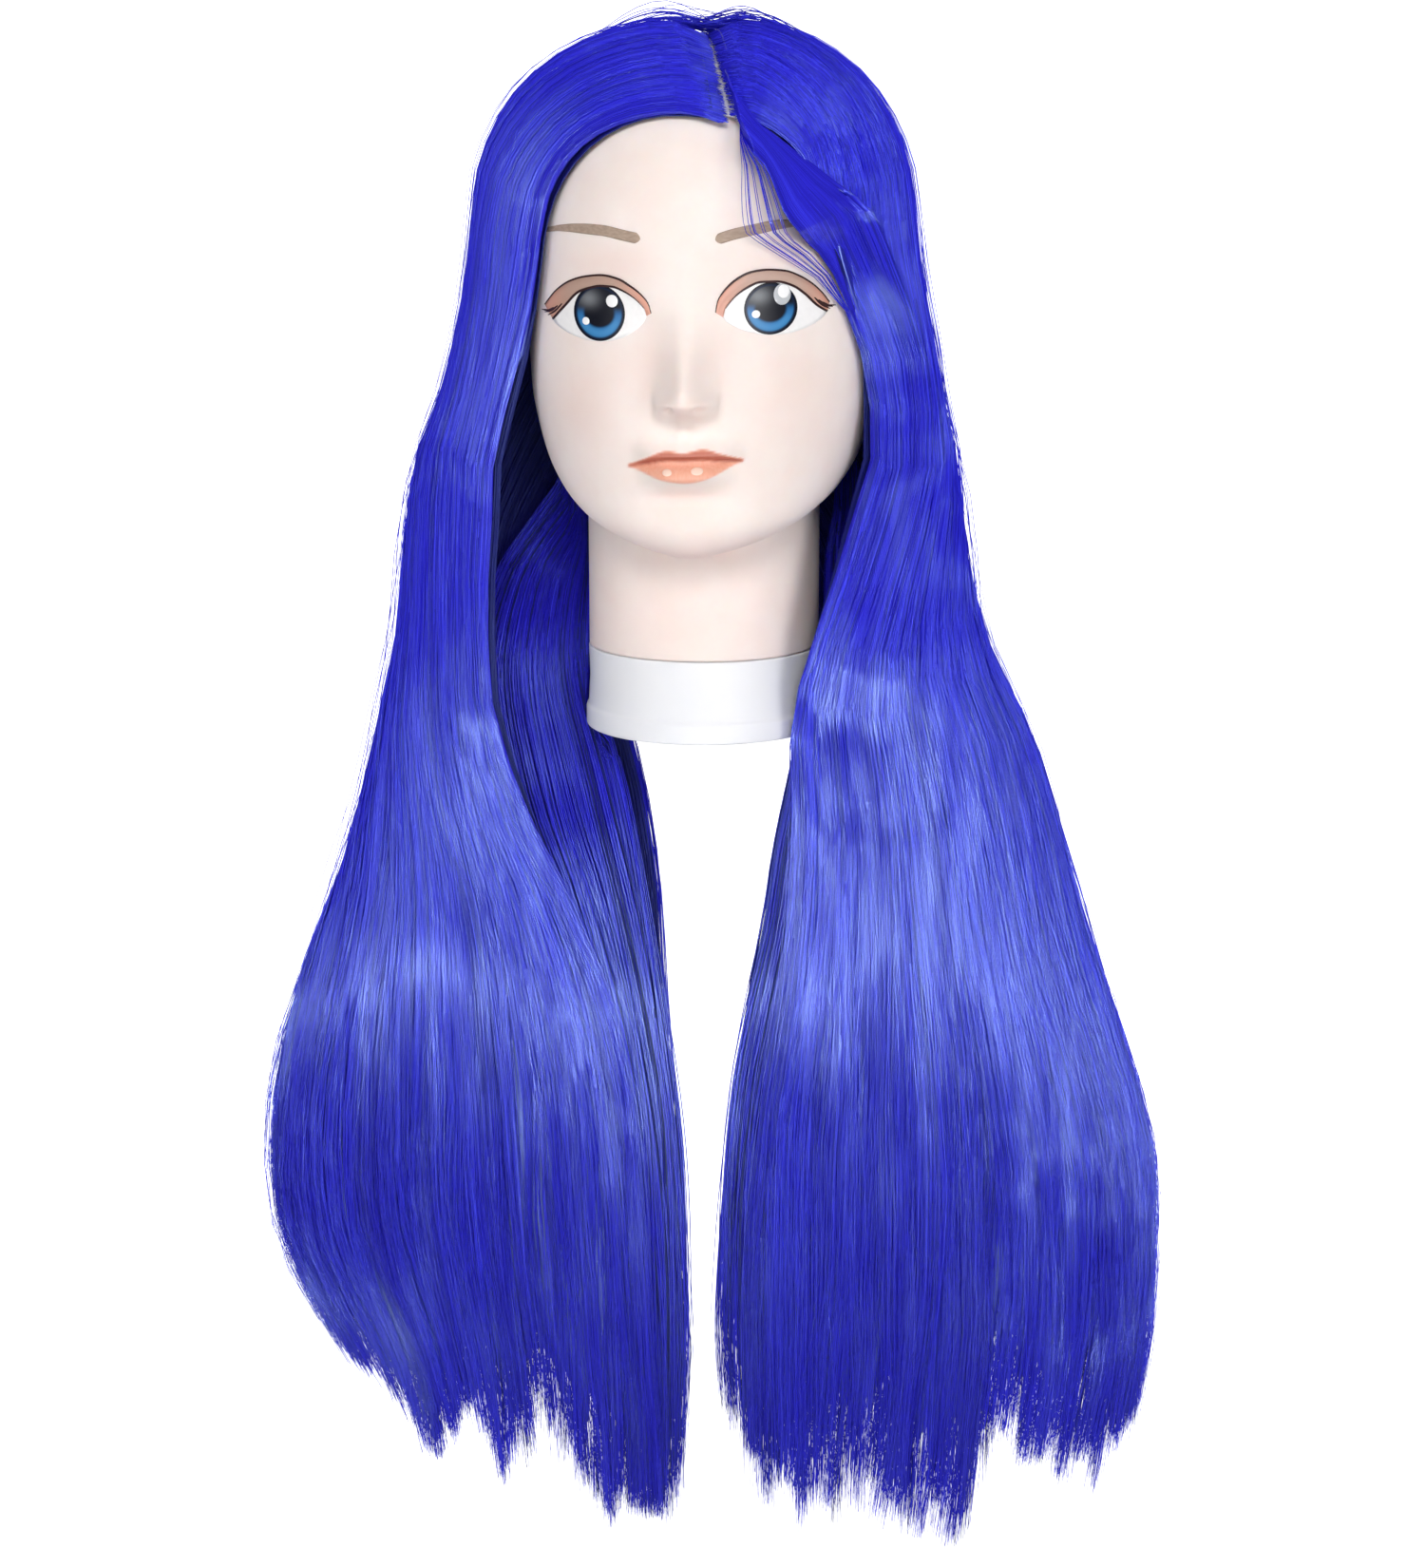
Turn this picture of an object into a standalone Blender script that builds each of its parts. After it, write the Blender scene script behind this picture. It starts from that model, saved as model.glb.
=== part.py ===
# Hairdressing training head: a vinyl mannequin head on a hollow white neck
# base, with a wig cap, sewn weft tracks and long straight hair that is
# parted on top and falls in two loose tails.  Metres, +Z up, face towards -Y.
# Origin: centre of the neck base's underside, on the clamp socket's axis.
import bpy
import bmesh
import math
import numpy as np
from mathutils import Vector

# ---------------------------------------------------------------- dimensions
MM = 0.001
NECK_R = 50.4            # neck and base, mm
SKIN_BOTTOM = 36.1       # where the vinyl neck stands on the base
SKIN_T = 3.2             # vinyl wall
GAP = 0.35               # running gap between neighbours
BASE_TOP = 35.7
BASE_RIM_R = 52.0
BASE_RIM_H = 9.0
SOCKET_R = 10.5          # clamp socket bore
SOCKET_OUT_R = 15.0
SOCKET_TOP = 61.0
PLATE_Z = (3.5, 6.5)
SCREW_PCR = 36.0         # radius of the screw circle
SKULL_C = (0.0, 6.0, 205.0)
SKULL_AX = (74.0, 93.0, 98.0, 86.0)   # half width, front, back, top
SKULL_P = 2.35           # roundness exponent of the dome
CUT_Z = 45.0             # level where the hair turns into a swinging tail
PIVOT_X = 88.0
PIVOT_Z = 50.0
SWING_SLOPE = math.tan(math.radians(21.0))
U_TOP = 0.76             # share of the strands rooted above the belt level
FEATURE_TILT = 0.025     # the painted face is set a little askew

# level: half width, front, back of the head below the belt (mm)
HEAD_TABLE = [
    (84.0, 7.0, -75.0, -52.0),
    (87.0, 20.0, -81.5, -36.0),
    (92.0, 34.0, -85.0, -22.0),
    (99.0, 48.0, -87.0, 2.0),
    (108.0, 59.0, -87.5, 34.0),
    (120.0, 67.0, -87.5, 58.0),
    (135.0, 72.0, -87.5, 76.0),
    (150.0, 74.6, -87.0, 87.0),
    (170.0, 75.4, -87.0, 97.0),
    (190.0, 74.8, -87.0, 102.5),
    (205.0, 74.0, -87.0, 104.0),
]
# height of the nose ridge above the face plane, by level
NOSE_TABLE = [(132, 0.0), (137, 0.8), (141, 4.5), (144, 10.0), (147, 16.0),
              (150.5, 19.0), (154, 19.0), (160, 15.5), (170, 9.5), (180, 5.0),
              (190, 2.0), (200, 0.6), (208, 0.0)]
NOSE_WIDTH = [(132, 7.0), (144, 9.0), (150, 9.6), (160, 8.8), (175, 9.2), (208, 11.0)]

# polar angle of the wig cap's edge, by azimuth from the front (degrees)
CAP_EDGE = [(0, 43), (26, 46), (40, 57), (52, 71), (70, 87), (90, 97), (120, 118), (180, 140)]

# hair silhouette (mm from the centre plane), per side
SIL = {-1: [(-420, 176), (-360, 184), (-297, 193), (-250, 200), (-211, 202), (-172, 197),
            (-129, 186), (-76, 166), (-30, 151), (18, 140), (38, 135), (66, 132), (89, 130),
            (108, 127), (124, 122), (145, 112), (163, 107), (187, 103), (205, 100)],
       1: [(-420, 182), (-360, 196), (-280, 206), (-213, 205), (-168, 196), (-136, 185),
           (-96, 172), (-34, 153), (2, 140), (22, 129), (45, 120), (66, 115), (92, 111),
           (119, 107), (138, 103), (171, 96), (187, 93), (205, 90)]}
# inner end of the hair sheet
INNER = {-1: [(-420, 12), (-289, 9), (-243, 10), (-196, 12), (-129, 18), (-76, 25), (-30, 34),
              (-7, 41), (11, 47), (30, 50), (60, 47), (90, 25), (115, 0), (205, 0)],
         1: [(-420, 12), (-344, 9), (-288, 5), (-246, 6), (-168, 13), (-128, 20), (-88, 28),
             (-57, 32), (-18, 39), (0, 43), (18, 48), (38, 51), (60, 47), (90, 25), (115, 0),
             (205, 0)]}
# front edge of the hair sheet beside the face
EDGE = {-1: [(-420, 24), (-200, 30), (-130, 42), (-76, 60), (-30, 80), (22, 90), (60, 90), (100, 88),
             (123, 87), (140, 84), (155, 78), (165, 71), (185, 67), (205, 64)],
        1: [(-420, 20), (-200, 26), (-120, 36), (-60, 43), (-20, 48), (0, 50), (22, 52), (50, 56),
            (74, 61), (100, 67), (119, 72), (135, 75), (150, 75), (165, 70), (180, 63), (190, 58),
            (205, 53)]}
# level: sheet thickness, centre y, front depth, back depth
DEPTH = [(-420, 4.0, -2, 3, 3), (-350, 8.0, -2, 5, 5), (-250, 13.0, -2, 8, 9), (-150, 18.0, -1, 14, 15),
         (-60, 22.0, 2, 25, 26), (0, 25.0, 4, 40, 40), (45, 25.0, 7, 50, 52),
         (90, 24.0, 8, 54, 68), (120, 23.0, 7, 60, 84), (150, 22.0, 6, 66, 98),
         (175, 21.0, 6, 71, 106), (205, 20.0, 6, 78, 110)]


# ------------------------------------------------------------ smooth tables
def curve(x, rows, col=1):
    """Monotone cubic through the rows of a small table."""
    xs = np.array([r[0] for r in rows], float)
    ys = np.array([r[col] for r in rows], float)
    h = np.diff(xs)
    s = np.diff(ys) / h
    m = np.zeros(len(xs))
    m[0], m[-1] = s[0], s[-1]
    same = s[:-1] * s[1:] > 0
    w1 = 2 * h[1:] + h[:-1]
    w2 = h[1:] + 2 * h[:-1]
    with np.errstate(divide="ignore", invalid="ignore"):
        hm = (w1 + w2) / (w1 / s[:-1] + w2 / s[1:])
    m[1:-1] = np.where(same, hm, 0.0)
    x = np.clip(np.asarray(x, float), xs[0], xs[-1])
    i = np.clip(np.searchsorted(xs, x, side="right") - 1, 0, len(xs) - 2)
    t = (x - xs[i]) / h[i]
    return ((1 + 2 * t) * (1 - t) ** 2 * ys[i] + t * (1 - t) ** 2 * h[i] * m[i]
            + t * t * (3 - 2 * t) * ys[i + 1] + t * t * (t - 1) * h[i] * m[i + 1])


def smooth(a, b, x):
    t = np.clip((np.asarray(x, float) - a) / (b - a), 0, 1)
    return t * t * (3 - 2 * t)


def bump(v, c, s):
    return np.exp(-((v - c) / s) ** 2)


def smin(a, b, k):
    h = np.clip(0.5 + 0.5 * (b - a) / k, 0, 1)
    return b * (1 - h) + a * h - k * h * (1 - h)


# ---------------------------------------------------------------- the head
def features(x, z):
    """How far the face stands out of its plane, mm towards -Y."""
    z = z - FEATURE_TILT * x
    n = curve(z, NOSE_TABLE) * bump(x, 0, curve(z, NOSE_WIDTH))
    n += 5.0 * bump(np.abs(x), 8.0, 4.2) * bump(z, 148.5, 4.6)
    lips = smooth(25, 13, np.abs(x))
    n += 4.6 * bump(z, 129.3, 4.2) * lips + 5.4 * bump(z, 120.3, 4.4) * smooth(22, 8, np.abs(x))
    n -= 2.2 * bump(z, 125.2, 1.5) * lips
    n += 2.0 * bump(z, 125, 12) * bump(x, 0, 24)
    n -= 0.8 * bump(x, 0, 3.0) * bump(z, 137, 4.0)
    n -= 3.0 * bump(z, 109.5, 5.0) * bump(x, 0, 20)
    n += 2.5 * bump(z, 97, 8.0) * bump(x, 0, 15)
    n += 2.2 * bump(np.abs(x), 38, 18) * bump(z, 150, 20)
    n -= 3.4 * bump(np.abs(x), 33, 19) * bump(z, 188, 15)
    n += 1.6 * bump(np.abs(x), 34, 14) * bump(z, 187, 10)
    return n


def head_f(x, y, z, plain=False):
    """Approximate signed distance to the head and neck, mm.  The plain form
    is the wall's inner side: shallower features and no ears."""
    share = 0.7 if plain else 1.0
    ye = y + share * features(x, z) * smooth(-30, -60, y) * smooth(72, 84, z)
    zc = np.clip(z, 84.0, 205.0)
    w = curve(zc, HEAD_TABLE, 1)
    f = curve(zc, HEAD_TABLE, 2)
    b = curve(zc, HEAD_TABLE, 3)
    cy = np.where(z > 140, 6.0, 0.5 * (f + b) + (6.0 - 0.5 * (f + b)) * smooth(84, 140, z))
    d = np.where(ye < cy, cy - f, b - cy)
    rho = np.maximum(np.sqrt((x / w) ** 2 + ((ye - cy) / d) ** 2), 1e-6)
    zeta = np.maximum(z - 205.0, 0) / SKULL_AX[3]
    k = (rho ** SKULL_P + zeta ** SKULL_P) ** (1 / SKULL_P)
    r = np.sqrt(x * x + (ye - cy) ** 2 + np.maximum(z - 205.0, 0) ** 2)
    head = r * (1 - 1 / k)
    low = np.maximum(84.0 - z, 0)
    head = np.where(low > 0, np.hypot(np.maximum(head, 0), low), head)
    neck = np.hypot(x, y) - NECK_R + np.maximum(z - 135, 0)
    body = smin(head, neck, 13.0)
    if plain:
        return body
    ear = (np.sqrt(((np.abs(x) - 70.5) / 6.0) ** 2 + ((y - 12) / 14.0) ** 2
                   + ((z - 163) / 25.0) ** 2) - 1) * 6.0
    return smin(body, ear, 2.5)


def cast(org, dirs, offset, far=170.0):
    """Outermost crossing of head_f = offset along each ray."""
    plain = offset < 0
    ts = np.linspace(far, 4.0, 140)
    p = org[None] + dirs[None] * ts[:, None, None]
    v = head_f(p[..., 0], p[..., 1], p[..., 2], plain) - offset
    inside = v < 0
    first = np.argmax(inside, axis=0)
    lo = ts[first]
    hi = ts[np.maximum(first - 1, 0)]
    for _ in range(22):
        mid = 0.5 * (lo + hi)
        q = org + dirs * mid[:, None]
        neg = head_f(q[:, 0], q[:, 1], q[:, 2], plain) - offset < 0
        lo = np.where(neg, mid, lo)
        hi = np.where(neg, hi, mid)
    return org + dirs * lo[:, None]


def head_rings(elev, azim, offset):
    """Rings of points: elev holds (origin z, elevation in degrees)."""
    o, d = [], []
    for oz, e in elev:
        oy = 6.0 * float(smooth(75, 130, oz))
        ce, se = math.cos(math.radians(e)), math.sin(math.radians(e))
        for a in azim:
            o.append((0, oy, oz))
            d.append((ce * math.sin(a), -ce * math.cos(a), se))
    p = cast(np.array(o, float), np.array(d, float), offset)
    return p.reshape(len(elev), len(azim), 3)


# ---------------------------------------------------------------- the hair
def u_max(z):
    return 1.0 - (1.0 - U_TOP) * smooth(112, 205, z)


def part_x(u):
    return 17.0 * np.clip(1 - np.asarray(u, float) / 0.3, 0, 1) ** 1.2


def part_gap(u):
    return curve(u, [(0, 5.0), (0.12, 3.4), (0.3, 1.8), (0.45, 0.7), (1.0, 0.7)])


def push(p, least):
    """Move points out of the head until they clear it by `least`."""
    for _ in range(4):
        v = head_f(p[..., 0], p[..., 1], p[..., 2])
        e = 0.5
        g = np.stack([head_f(p[..., 0] + e, p[..., 1], p[..., 2]) - head_f(p[..., 0] - e, p[..., 1], p[..., 2]),
                      head_f(p[..., 0], p[..., 1] + e, p[..., 2]) - head_f(p[..., 0], p[..., 1] - e, p[..., 2]),
                      head_f(p[..., 0], p[..., 1], p[..., 2] + e) - head_f(p[..., 0], p[..., 1], p[..., 2] - e)], -1)
        g /= np.maximum(np.linalg.norm(g, axis=-1, keepdims=True), 1e-6)
        p = p + g * np.maximum(least - v, 0)[..., None]
    return p


def sheet_mid(side, q, z):
    """Middle line of the hair sheet at one level, below the belt."""
    th = curve(z, DEPTH, 1)
    cy = curve(z, DEPTH, 2)
    df = curve(z, DEPTH, 3)
    db = curve(z, DEPTH, 4)
    xi = curve(z, INNER[side])
    xo = curve(z, SIL[side]) - th * 0.5
    xe = curve(z, EDGE[side])
    tf = np.arccos(np.clip((xe - xi) / (xo - xi), 0.0, 0.98))
    a = -tf + q * (math.pi / 2 + tf)
    x = xi + (xo - xi) * np.cos(a)
    y = cy + np.where(a < 0, df, db) * np.sin(a)
    return side * np.hypot(x, 0.7), y


def sheet(side, q, z, w):
    """Point in the hair sheet: w runs from its inner to its outer face."""
    q, z, w = np.broadcast_arrays(*[np.asarray(v, float) for v in (q, z, w)])
    x, y = sheet_mid(side, q, z)
    x1, y1 = sheet_mid(side, np.clip(q + 0.01, 0, 1), z)
    x0, y0 = sheet_mid(side, np.clip(q - 0.01, 0, 1), z)
    tx, ty = x1 - x0, y1 - y0
    ln = np.maximum(np.hypot(tx, ty), 1e-6)
    nx, ny = ty / ln * side, -tx / ln * side
    th = curve(z, DEPTH, 1) * (0.3 + 0.7 * smooth(0, 0.16, q))
    x, y = x + nx * th * (w - 0.5), y + ny * th * (w - 0.5)
    x = side * np.maximum(side * x, 0.6)
    return np.stack([x, y, z], -1)


def dome(side, u, s, w):
    """Point on the crown: s runs from the parting (0) to the belt (1)."""
    u, s, w = np.broadcast_arrays(*[np.asarray(v, float) for v in (u, s, w)])
    al = np.radians(36.5) + np.clip(u / U_TOP, 0, 1) * np.radians(143.5)
    yr = -np.cos(al)
    bx = sheet(side, np.clip(u / U_TOP, 0, 1), np.full(u.shape, 205.0), np.full(u.shape, 0.5))
    yb = (bx[..., 1] - 6.0) / np.where(bx[..., 1] < 6, SKULL_AX[1] + 3, SKULL_AX[2] + 12)
    yb = np.clip(yb, -0.95, 0.999)
    ex = 1.15 if side < 0 else 2.2
    yn = yr + (yb - yr) * s ** ex
    ring = np.sqrt(np.maximum(1 - yn * yn, 0))
    be = s * math.pi / 2
    xn, zn = ring * np.sin(be), ring * np.cos(be)
    k = (np.abs(zn) ** SKULL_P + (xn * xn + yn * yn) ** (SKULL_P / 2)) ** (-1 / SKULL_P)
    xn, yn, zn = xn * k, yn * k, zn * k
    sil = float(curve(205.0, SIL[side]))

    def surf(ax, ay, by, az):
        return np.stack([side * xn * ax, 6 + yn * np.where(yn < 0, ay, by), 205 + zn * az], -1)
    inner = surf(SKULL_AX[0] + 3.4, SKULL_AX[1] + 3.4, SKULL_AX[2] + 3.4, SKULL_AX[3] + 3.4)
    outer = surf(sil, SKULL_AX[1] + 8, SKULL_AX[2] + 21, SKULL_AX[3] + 11.5)
    full = (0.3 + 0.7 * smooth(0, 14, np.abs(inner[..., 0]))) * (0.45 + 0.55 * smooth(0, 0.2, u))
    p = inner + (outer - inner) * (full * w)[..., None]
    # meet the belt exactly
    belt = sheet(side, np.clip(u / U_TOP, 0, 1), np.full(u.shape, 205.0), w)
    p = p + (belt - surf_at_belt(side, u, w, bx, sil)) * smooth(0.45, 1.0, s)[..., None]
    gap = part_gap(u) * (1 - s) + 0.7 * s
    x = part_x(u) * (1 - s) ** 2 + side * np.hypot(p[..., 0], gap)
    return np.stack([x, p[..., 1], p[..., 2]], -1)


def surf_at_belt(side, u, w, bx, sil):
    yb = (bx[..., 1] - 6.0) / np.where(bx[..., 1] < 6, SKULL_AX[1] + 3, SKULL_AX[2] + 12)
    yb = np.clip(yb, -0.95, 0.999)
    xn = np.sqrt(np.maximum(1 - yb * yb, 0))

    def surf(ax, ay, by):
        return np.stack([side * xn * ax, 6 + yb * np.where(yb < 0, ay, by), np.full(yb.shape, 205.0)], -1)
    inner = surf(SKULL_AX[0] + 3.4, SKULL_AX[1] + 3.4, SKULL_AX[2] + 3.4)
    outer = surf(sil, SKULL_AX[1] + 8, SKULL_AX[2] + 21)
    full = (0.3 + 0.7 * smooth(0, 14, np.abs(inner[..., 0]))) * (0.45 + 0.55 * smooth(0, 0.2, u))
    return inner + (outer - inner) * (full * w)[..., None]


# ---------------------------------------------------------------- mesh tools
def material(name, color, rough, metal=0.0):
    m = bpy.data.materials.new(name)
    m.use_nodes = True
    b = m.node_tree.nodes["Principled BSDF"]
    b.inputs["Base Color"].default_value = (*color, 1)
    b.inputs["Roughness"].default_value = rough
    b.inputs["Metallic"].default_value = metal
    m.diffuse_color = (*color, 1)
    return m


def add(name, bm, mat, parent=None, smooth_angle=40):
    bmesh.ops.recalc_face_normals(bm, faces=bm.faces)
    me = bpy.data.meshes.new(name)
    bm.to_mesh(me)
    bm.free()
    ob = bpy.data.objects.new(name, me)
    bpy.context.scene.collection.objects.link(ob)
    me.materials.append(mat)
    me.shade_smooth()
    me.set_sharp_from_angle(angle=math.radians(smooth_angle))
    if parent:
        ob.parent = parent
        ob.matrix_parent_inverse = parent.matrix_world.inverted()
    return ob


def grid_faces(bm, rows, closed):
    for a, b in zip(rows[:-1], rows[1:]):
        n = len(a)
        for j in range(n if closed else n - 1):
            k = (j + 1) % n
            bm.faces.new((a[j], a[k], b[k], b[j]))


def verts(bm, pts):
    return [[bm.verts.new(Vector(p) * MM) for p in row] for row in pts]


def slab(inner, outer):
    """Closed body between two grids of the same size."""
    bm = bmesh.new()
    a, b = verts(bm, inner), verts(bm, outer)
    grid_faces(bm, a, False)
    grid_faces(bm, b, False)
    rim_a = a[0] + [r[-1] for r in a[1:]] + a[-1][-2::-1] + [r[0] for r in a[-2:0:-1]]
    rim_b = b[0] + [r[-1] for r in b[1:]] + b[-1][-2::-1] + [r[0] for r in b[-2:0:-1]]
    n = len(rim_a)
    for i in range(n):
        j = (i + 1) % n
        bm.faces.new((rim_a[i], rim_a[j], rim_b[j], rim_b[i]))
    bmesh.ops.triangulate(bm, faces=bm.faces, quad_method='FIXED')
    return bm


def loft(rings, pole=None):
    """Closed rings, first ring capped flat, last ring to a pole or a cap."""
    bm = bmesh.new()
    v = verts(bm, rings)
    grid_faces(bm, v, True)
    bm.faces.new(v[0])
    if pole is None:
        bm.faces.new(v[-1])
    else:
        top = bm.verts.new(Vector(pole) * MM)
        n = len(v[-1])
        for j in range(n):
            bm.faces.new((v[-1][j], v[-1][(j + 1) % n], top))
    return bm


def turn(profile, seg):
    """Body of revolution about Z from a closed (radius, z) outline."""
    bm = bmesh.new()
    n = len(profile)
    rows = []
    for r, z in profile:
        if r < 1e-6:
            rows.append([bm.verts.new(Vector((0, 0, z)) * MM)])
        else:
            rows.append([bm.verts.new(Vector((r * math.cos(2 * math.pi * k / seg),
                                              r * math.sin(2 * math.pi * k / seg), z)) * MM)
                         for k in range(seg)])
    for i in range(n):
        a, b = rows[i], rows[(i + 1) % n]
        if len(a) == 1 and len(b) == 1:
            continue
        for k in range(seg):
            l = (k + 1) % seg
            if len(a) == 1:
                bm.faces.new((a[0], b[l], b[k]))
            elif len(b) == 1:
                bm.faces.new((a[k], a[l], b[0]))
            else:
                bm.faces.new((a[k], a[l], b[l], b[k]))
    return bm


def cutter(name, r, z0, z1, x=0.0, y=0.0, seg=24):
    bm = turn([(0, z0), (r, z0), (r, z1), (0, z1)], seg)
    bmesh.ops.translate(bm, verts=bm.verts, vec=Vector((x, y, 0)) * MM)
    bmesh.ops.recalc_face_normals(bm, faces=bm.faces)
    me = bpy.data.meshes.new(name)
    bm.to_mesh(me)
    bm.free()
    ob = bpy.data.objects.new(name, me)
    bpy.context.scene.collection.objects.link(ob)
    ob.hide_render = True
    ob.display_type = "WIRE"
    return ob


def boolean(ob, other, op="DIFFERENCE"):
    m = ob.modifiers.new("cut_" + other.name, "BOOLEAN")
    m.operation = op
    m.solver = "EXACT"
    m.object = other


def empty(name, loc):
    e = bpy.data.objects.new(name, None)
    e.location = loc
    bpy.context.scene.collection.objects.link(e)
    bpy.context.view_layer.update()
    return e


# ---------------------------------------------------------------- pieces
def build_head(mats):
    azim = []
    for k in range(40):                      # more points across the face
        t = 2 * math.pi * k / 40
        azim.append(t - 0.45 * math.sin(t))
    azim = np.array(azim)
    neck = [(71.4 + SKIN_BOTTOM - 36.1, -35.0), (88.0, -35.0), (102.0, -35.0)]
    face = [(110.0 + 80.0 * t, -33.0 + 66.0 * t) for t in np.linspace(0, 1, 22)]
    crown = [(190.0, e) for e in (40.0, 48.0, 57.0, 66.0, 76.0)]
    elev = neck + face + crown
    top = np.array([[0.0, 6.0, 190.0]])
    up = np.array([[0.0, 0.0, 1.0]])
    outer = head_rings(elev, azim, 0.0)
    # the bottom ring is dropped to a level circle
    outer[0, :, 2] = SKIN_BOTTOM
    in_azim = azim[::2]
    in_elev = neck + face[::2] + crown[::2]
    inner = head_rings(in_elev, in_azim, -SKIN_T)
    inner[0, :, 2] = SKIN_BOTTOM
    bm = bmesh.new()
    vo, vi = verts(bm, outer), verts(bm, inner)
    grid_faces(bm, vo, True)
    grid_faces(bm, vi, True)
    for rows, off in ((vo, 0.0), (vi, -SKIN_T)):
        pole = bm.verts.new(Vector(cast(top, up, off)[0]) * MM)
        n = len(rows[-1])
        for j in range(n):
            bm.faces.new((rows[-1][j], rows[-1][(j + 1) % n], pole))
    n = len(vo[0])
    for j in range(0, n, 2):                 # level rim between wall faces
        a, b, c = vo[0][j], vo[0][j + 1], vo[0][(j + 2) % n]
        d, e = vi[0][j // 2], vi[0][(j // 2 + 1) % (n // 2)]
        bm.faces.new((a, b, d))
        bm.faces.new((b, e, d))
        bm.faces.new((b, c, e))
    bmesh.ops.triangulate(bm, faces=bm.faces, quad_method='FIXED')
    add("head_skin", bm, mats["skin"])

    # the core stays well inside the wall, rounded off under the chin
    n = len(in_azim)
    axis = np.array([[0.0, 6.0 * float(smooth(75, 130, z)), z] for z, _ in in_elev])[:, None, :]
    ray = inner - axis
    reach = np.linalg.norm(ray, axis=2)
    low = np.minimum(np.minimum(reach, np.roll(reach, 1, 1)), np.roll(reach, -1, 1))
    pad = np.pad(low, ((1, 1), (0, 0)), mode="edge")
    low = np.minimum(np.minimum(pad[:-2], pad[1:-1]), pad[2:]) - 2.5
    core = axis + ray * (low / reach)[..., None]
    core[0, :, 2] = SKIN_BOTTOM + 0.6
    bm = loft(core, cast(top, up, -SKIN_T - 3.0)[0])
    bmesh.ops.triangulate(bm, faces=bm.faces, quad_method='FIXED')
    ob = add("foam_core", bm, mats["foam"])
    boolean(ob, cutter("socket_room", SOCKET_OUT_R + GAP, 20, SOCKET_TOP + GAP, seg=32))


def build_base(mats):
    t = 3.0
    ri = NECK_R - t
    cup = turn([(BASE_RIM_R, 0), (BASE_RIM_R, BASE_RIM_H - 1), (BASE_RIM_R - 0.8, BASE_RIM_H),
                (NECK_R + 0.4, BASE_RIM_H + 0.6), (NECK_R + 0.1, 22), (NECK_R + 0.4, BASE_TOP - 1),
                (NECK_R - 0.4, BASE_TOP), (SOCKET_OUT_R + GAP, BASE_TOP),
                (SOCKET_OUT_R + GAP, BASE_TOP - 3.2), (ri, BASE_TOP - 3.2), (ri, 0)], 48)
    ob = add("neck_base_cup", cup, mats["white"])
    for k in range(4):
        a = math.radians(45 + 90 * k)
        x, y = SCREW_PCR * math.cos(a), SCREW_PCR * math.sin(a)
        boss = cutter("boss_%d" % (k + 1), 5.0, PLATE_Z[1] + GAP, BASE_TOP - 1.5, x, y, 16)
        boolean(ob, boss, "UNION")
    for k in range(4):
        a = math.radians(45 + 90 * k)
        x, y = SCREW_PCR * math.cos(a), SCREW_PCR * math.sin(a)
        boolean(ob, cutter("pilot_%d" % (k + 1), 1.9, PLATE_Z[1] - 2, 20, x, y, 12))

    plate = turn([(ri - GAP, PLATE_Z[0]), (ri - GAP, PLATE_Z[1]), (SOCKET_OUT_R + GAP, PLATE_Z[1]),
                  (SOCKET_OUT_R + GAP, PLATE_Z[0])], 48)
    plate = add("base_plate", plate, mats["white"])
    for k in range(4):
        a = math.radians(45 + 90 * k)
        x, y = SCREW_PCR * math.cos(a), SCREW_PCR * math.sin(a)
        boolean(plate, cutter("clear_%d" % (k + 1), 1.9, 0, 12, x, y, 12))
        s = turn([(0, 1.2), (2.6, 1.2), (3.2, 1.8), (3.2, 3.1), (1.5, 3.1), (1.5, 16.5), (0, 18.0)], 12)
        bmesh.ops.translate(s, verts=s.verts, vec=Vector((x, y, 0)) * MM)
        s = add("base_screw_%d" % (k + 1), s, mats["steel"])

    add("clamp_socket", turn([(SOCKET_R, 0.4), (SOCKET_OUT_R, 0.4), (SOCKET_OUT_R, PLATE_Z[1] + GAP),
                              (20.0, PLATE_Z[1] + GAP), (20.0, PLATE_Z[1] + GAP + 2.4),
                              (SOCKET_OUT_R, PLATE_Z[1] + GAP + 2.4), (SOCKET_OUT_R - 0.6, SOCKET_TOP),
                              (0, SOCKET_TOP), (0, SOCKET_TOP - 3), (SOCKET_R - 1.0, SOCKET_TOP - 3)], 32),
        mats["grey"])


def cap_edge(a):
    """Polar angle of the cap's edge at azimuth a (0 = front), degrees."""
    a = abs((math.degrees(a) + 180) % 360 - 180)
    return float(curve(a, CAP_EDGE))


def polar(az, pol, offset):
    az, pol = np.broadcast_arrays(np.asarray(az, float), np.asarray(pol, float))
    d = np.stack([np.sin(pol) * np.sin(az), -np.sin(pol) * np.cos(az), np.cos(pol)], -1)
    o = np.broadcast_to(np.array([0.0, 6.0, 190.0]), d.shape)
    return cast(o.reshape(-1, 3), d.reshape(-1, 3), offset).reshape(d.shape)


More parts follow.
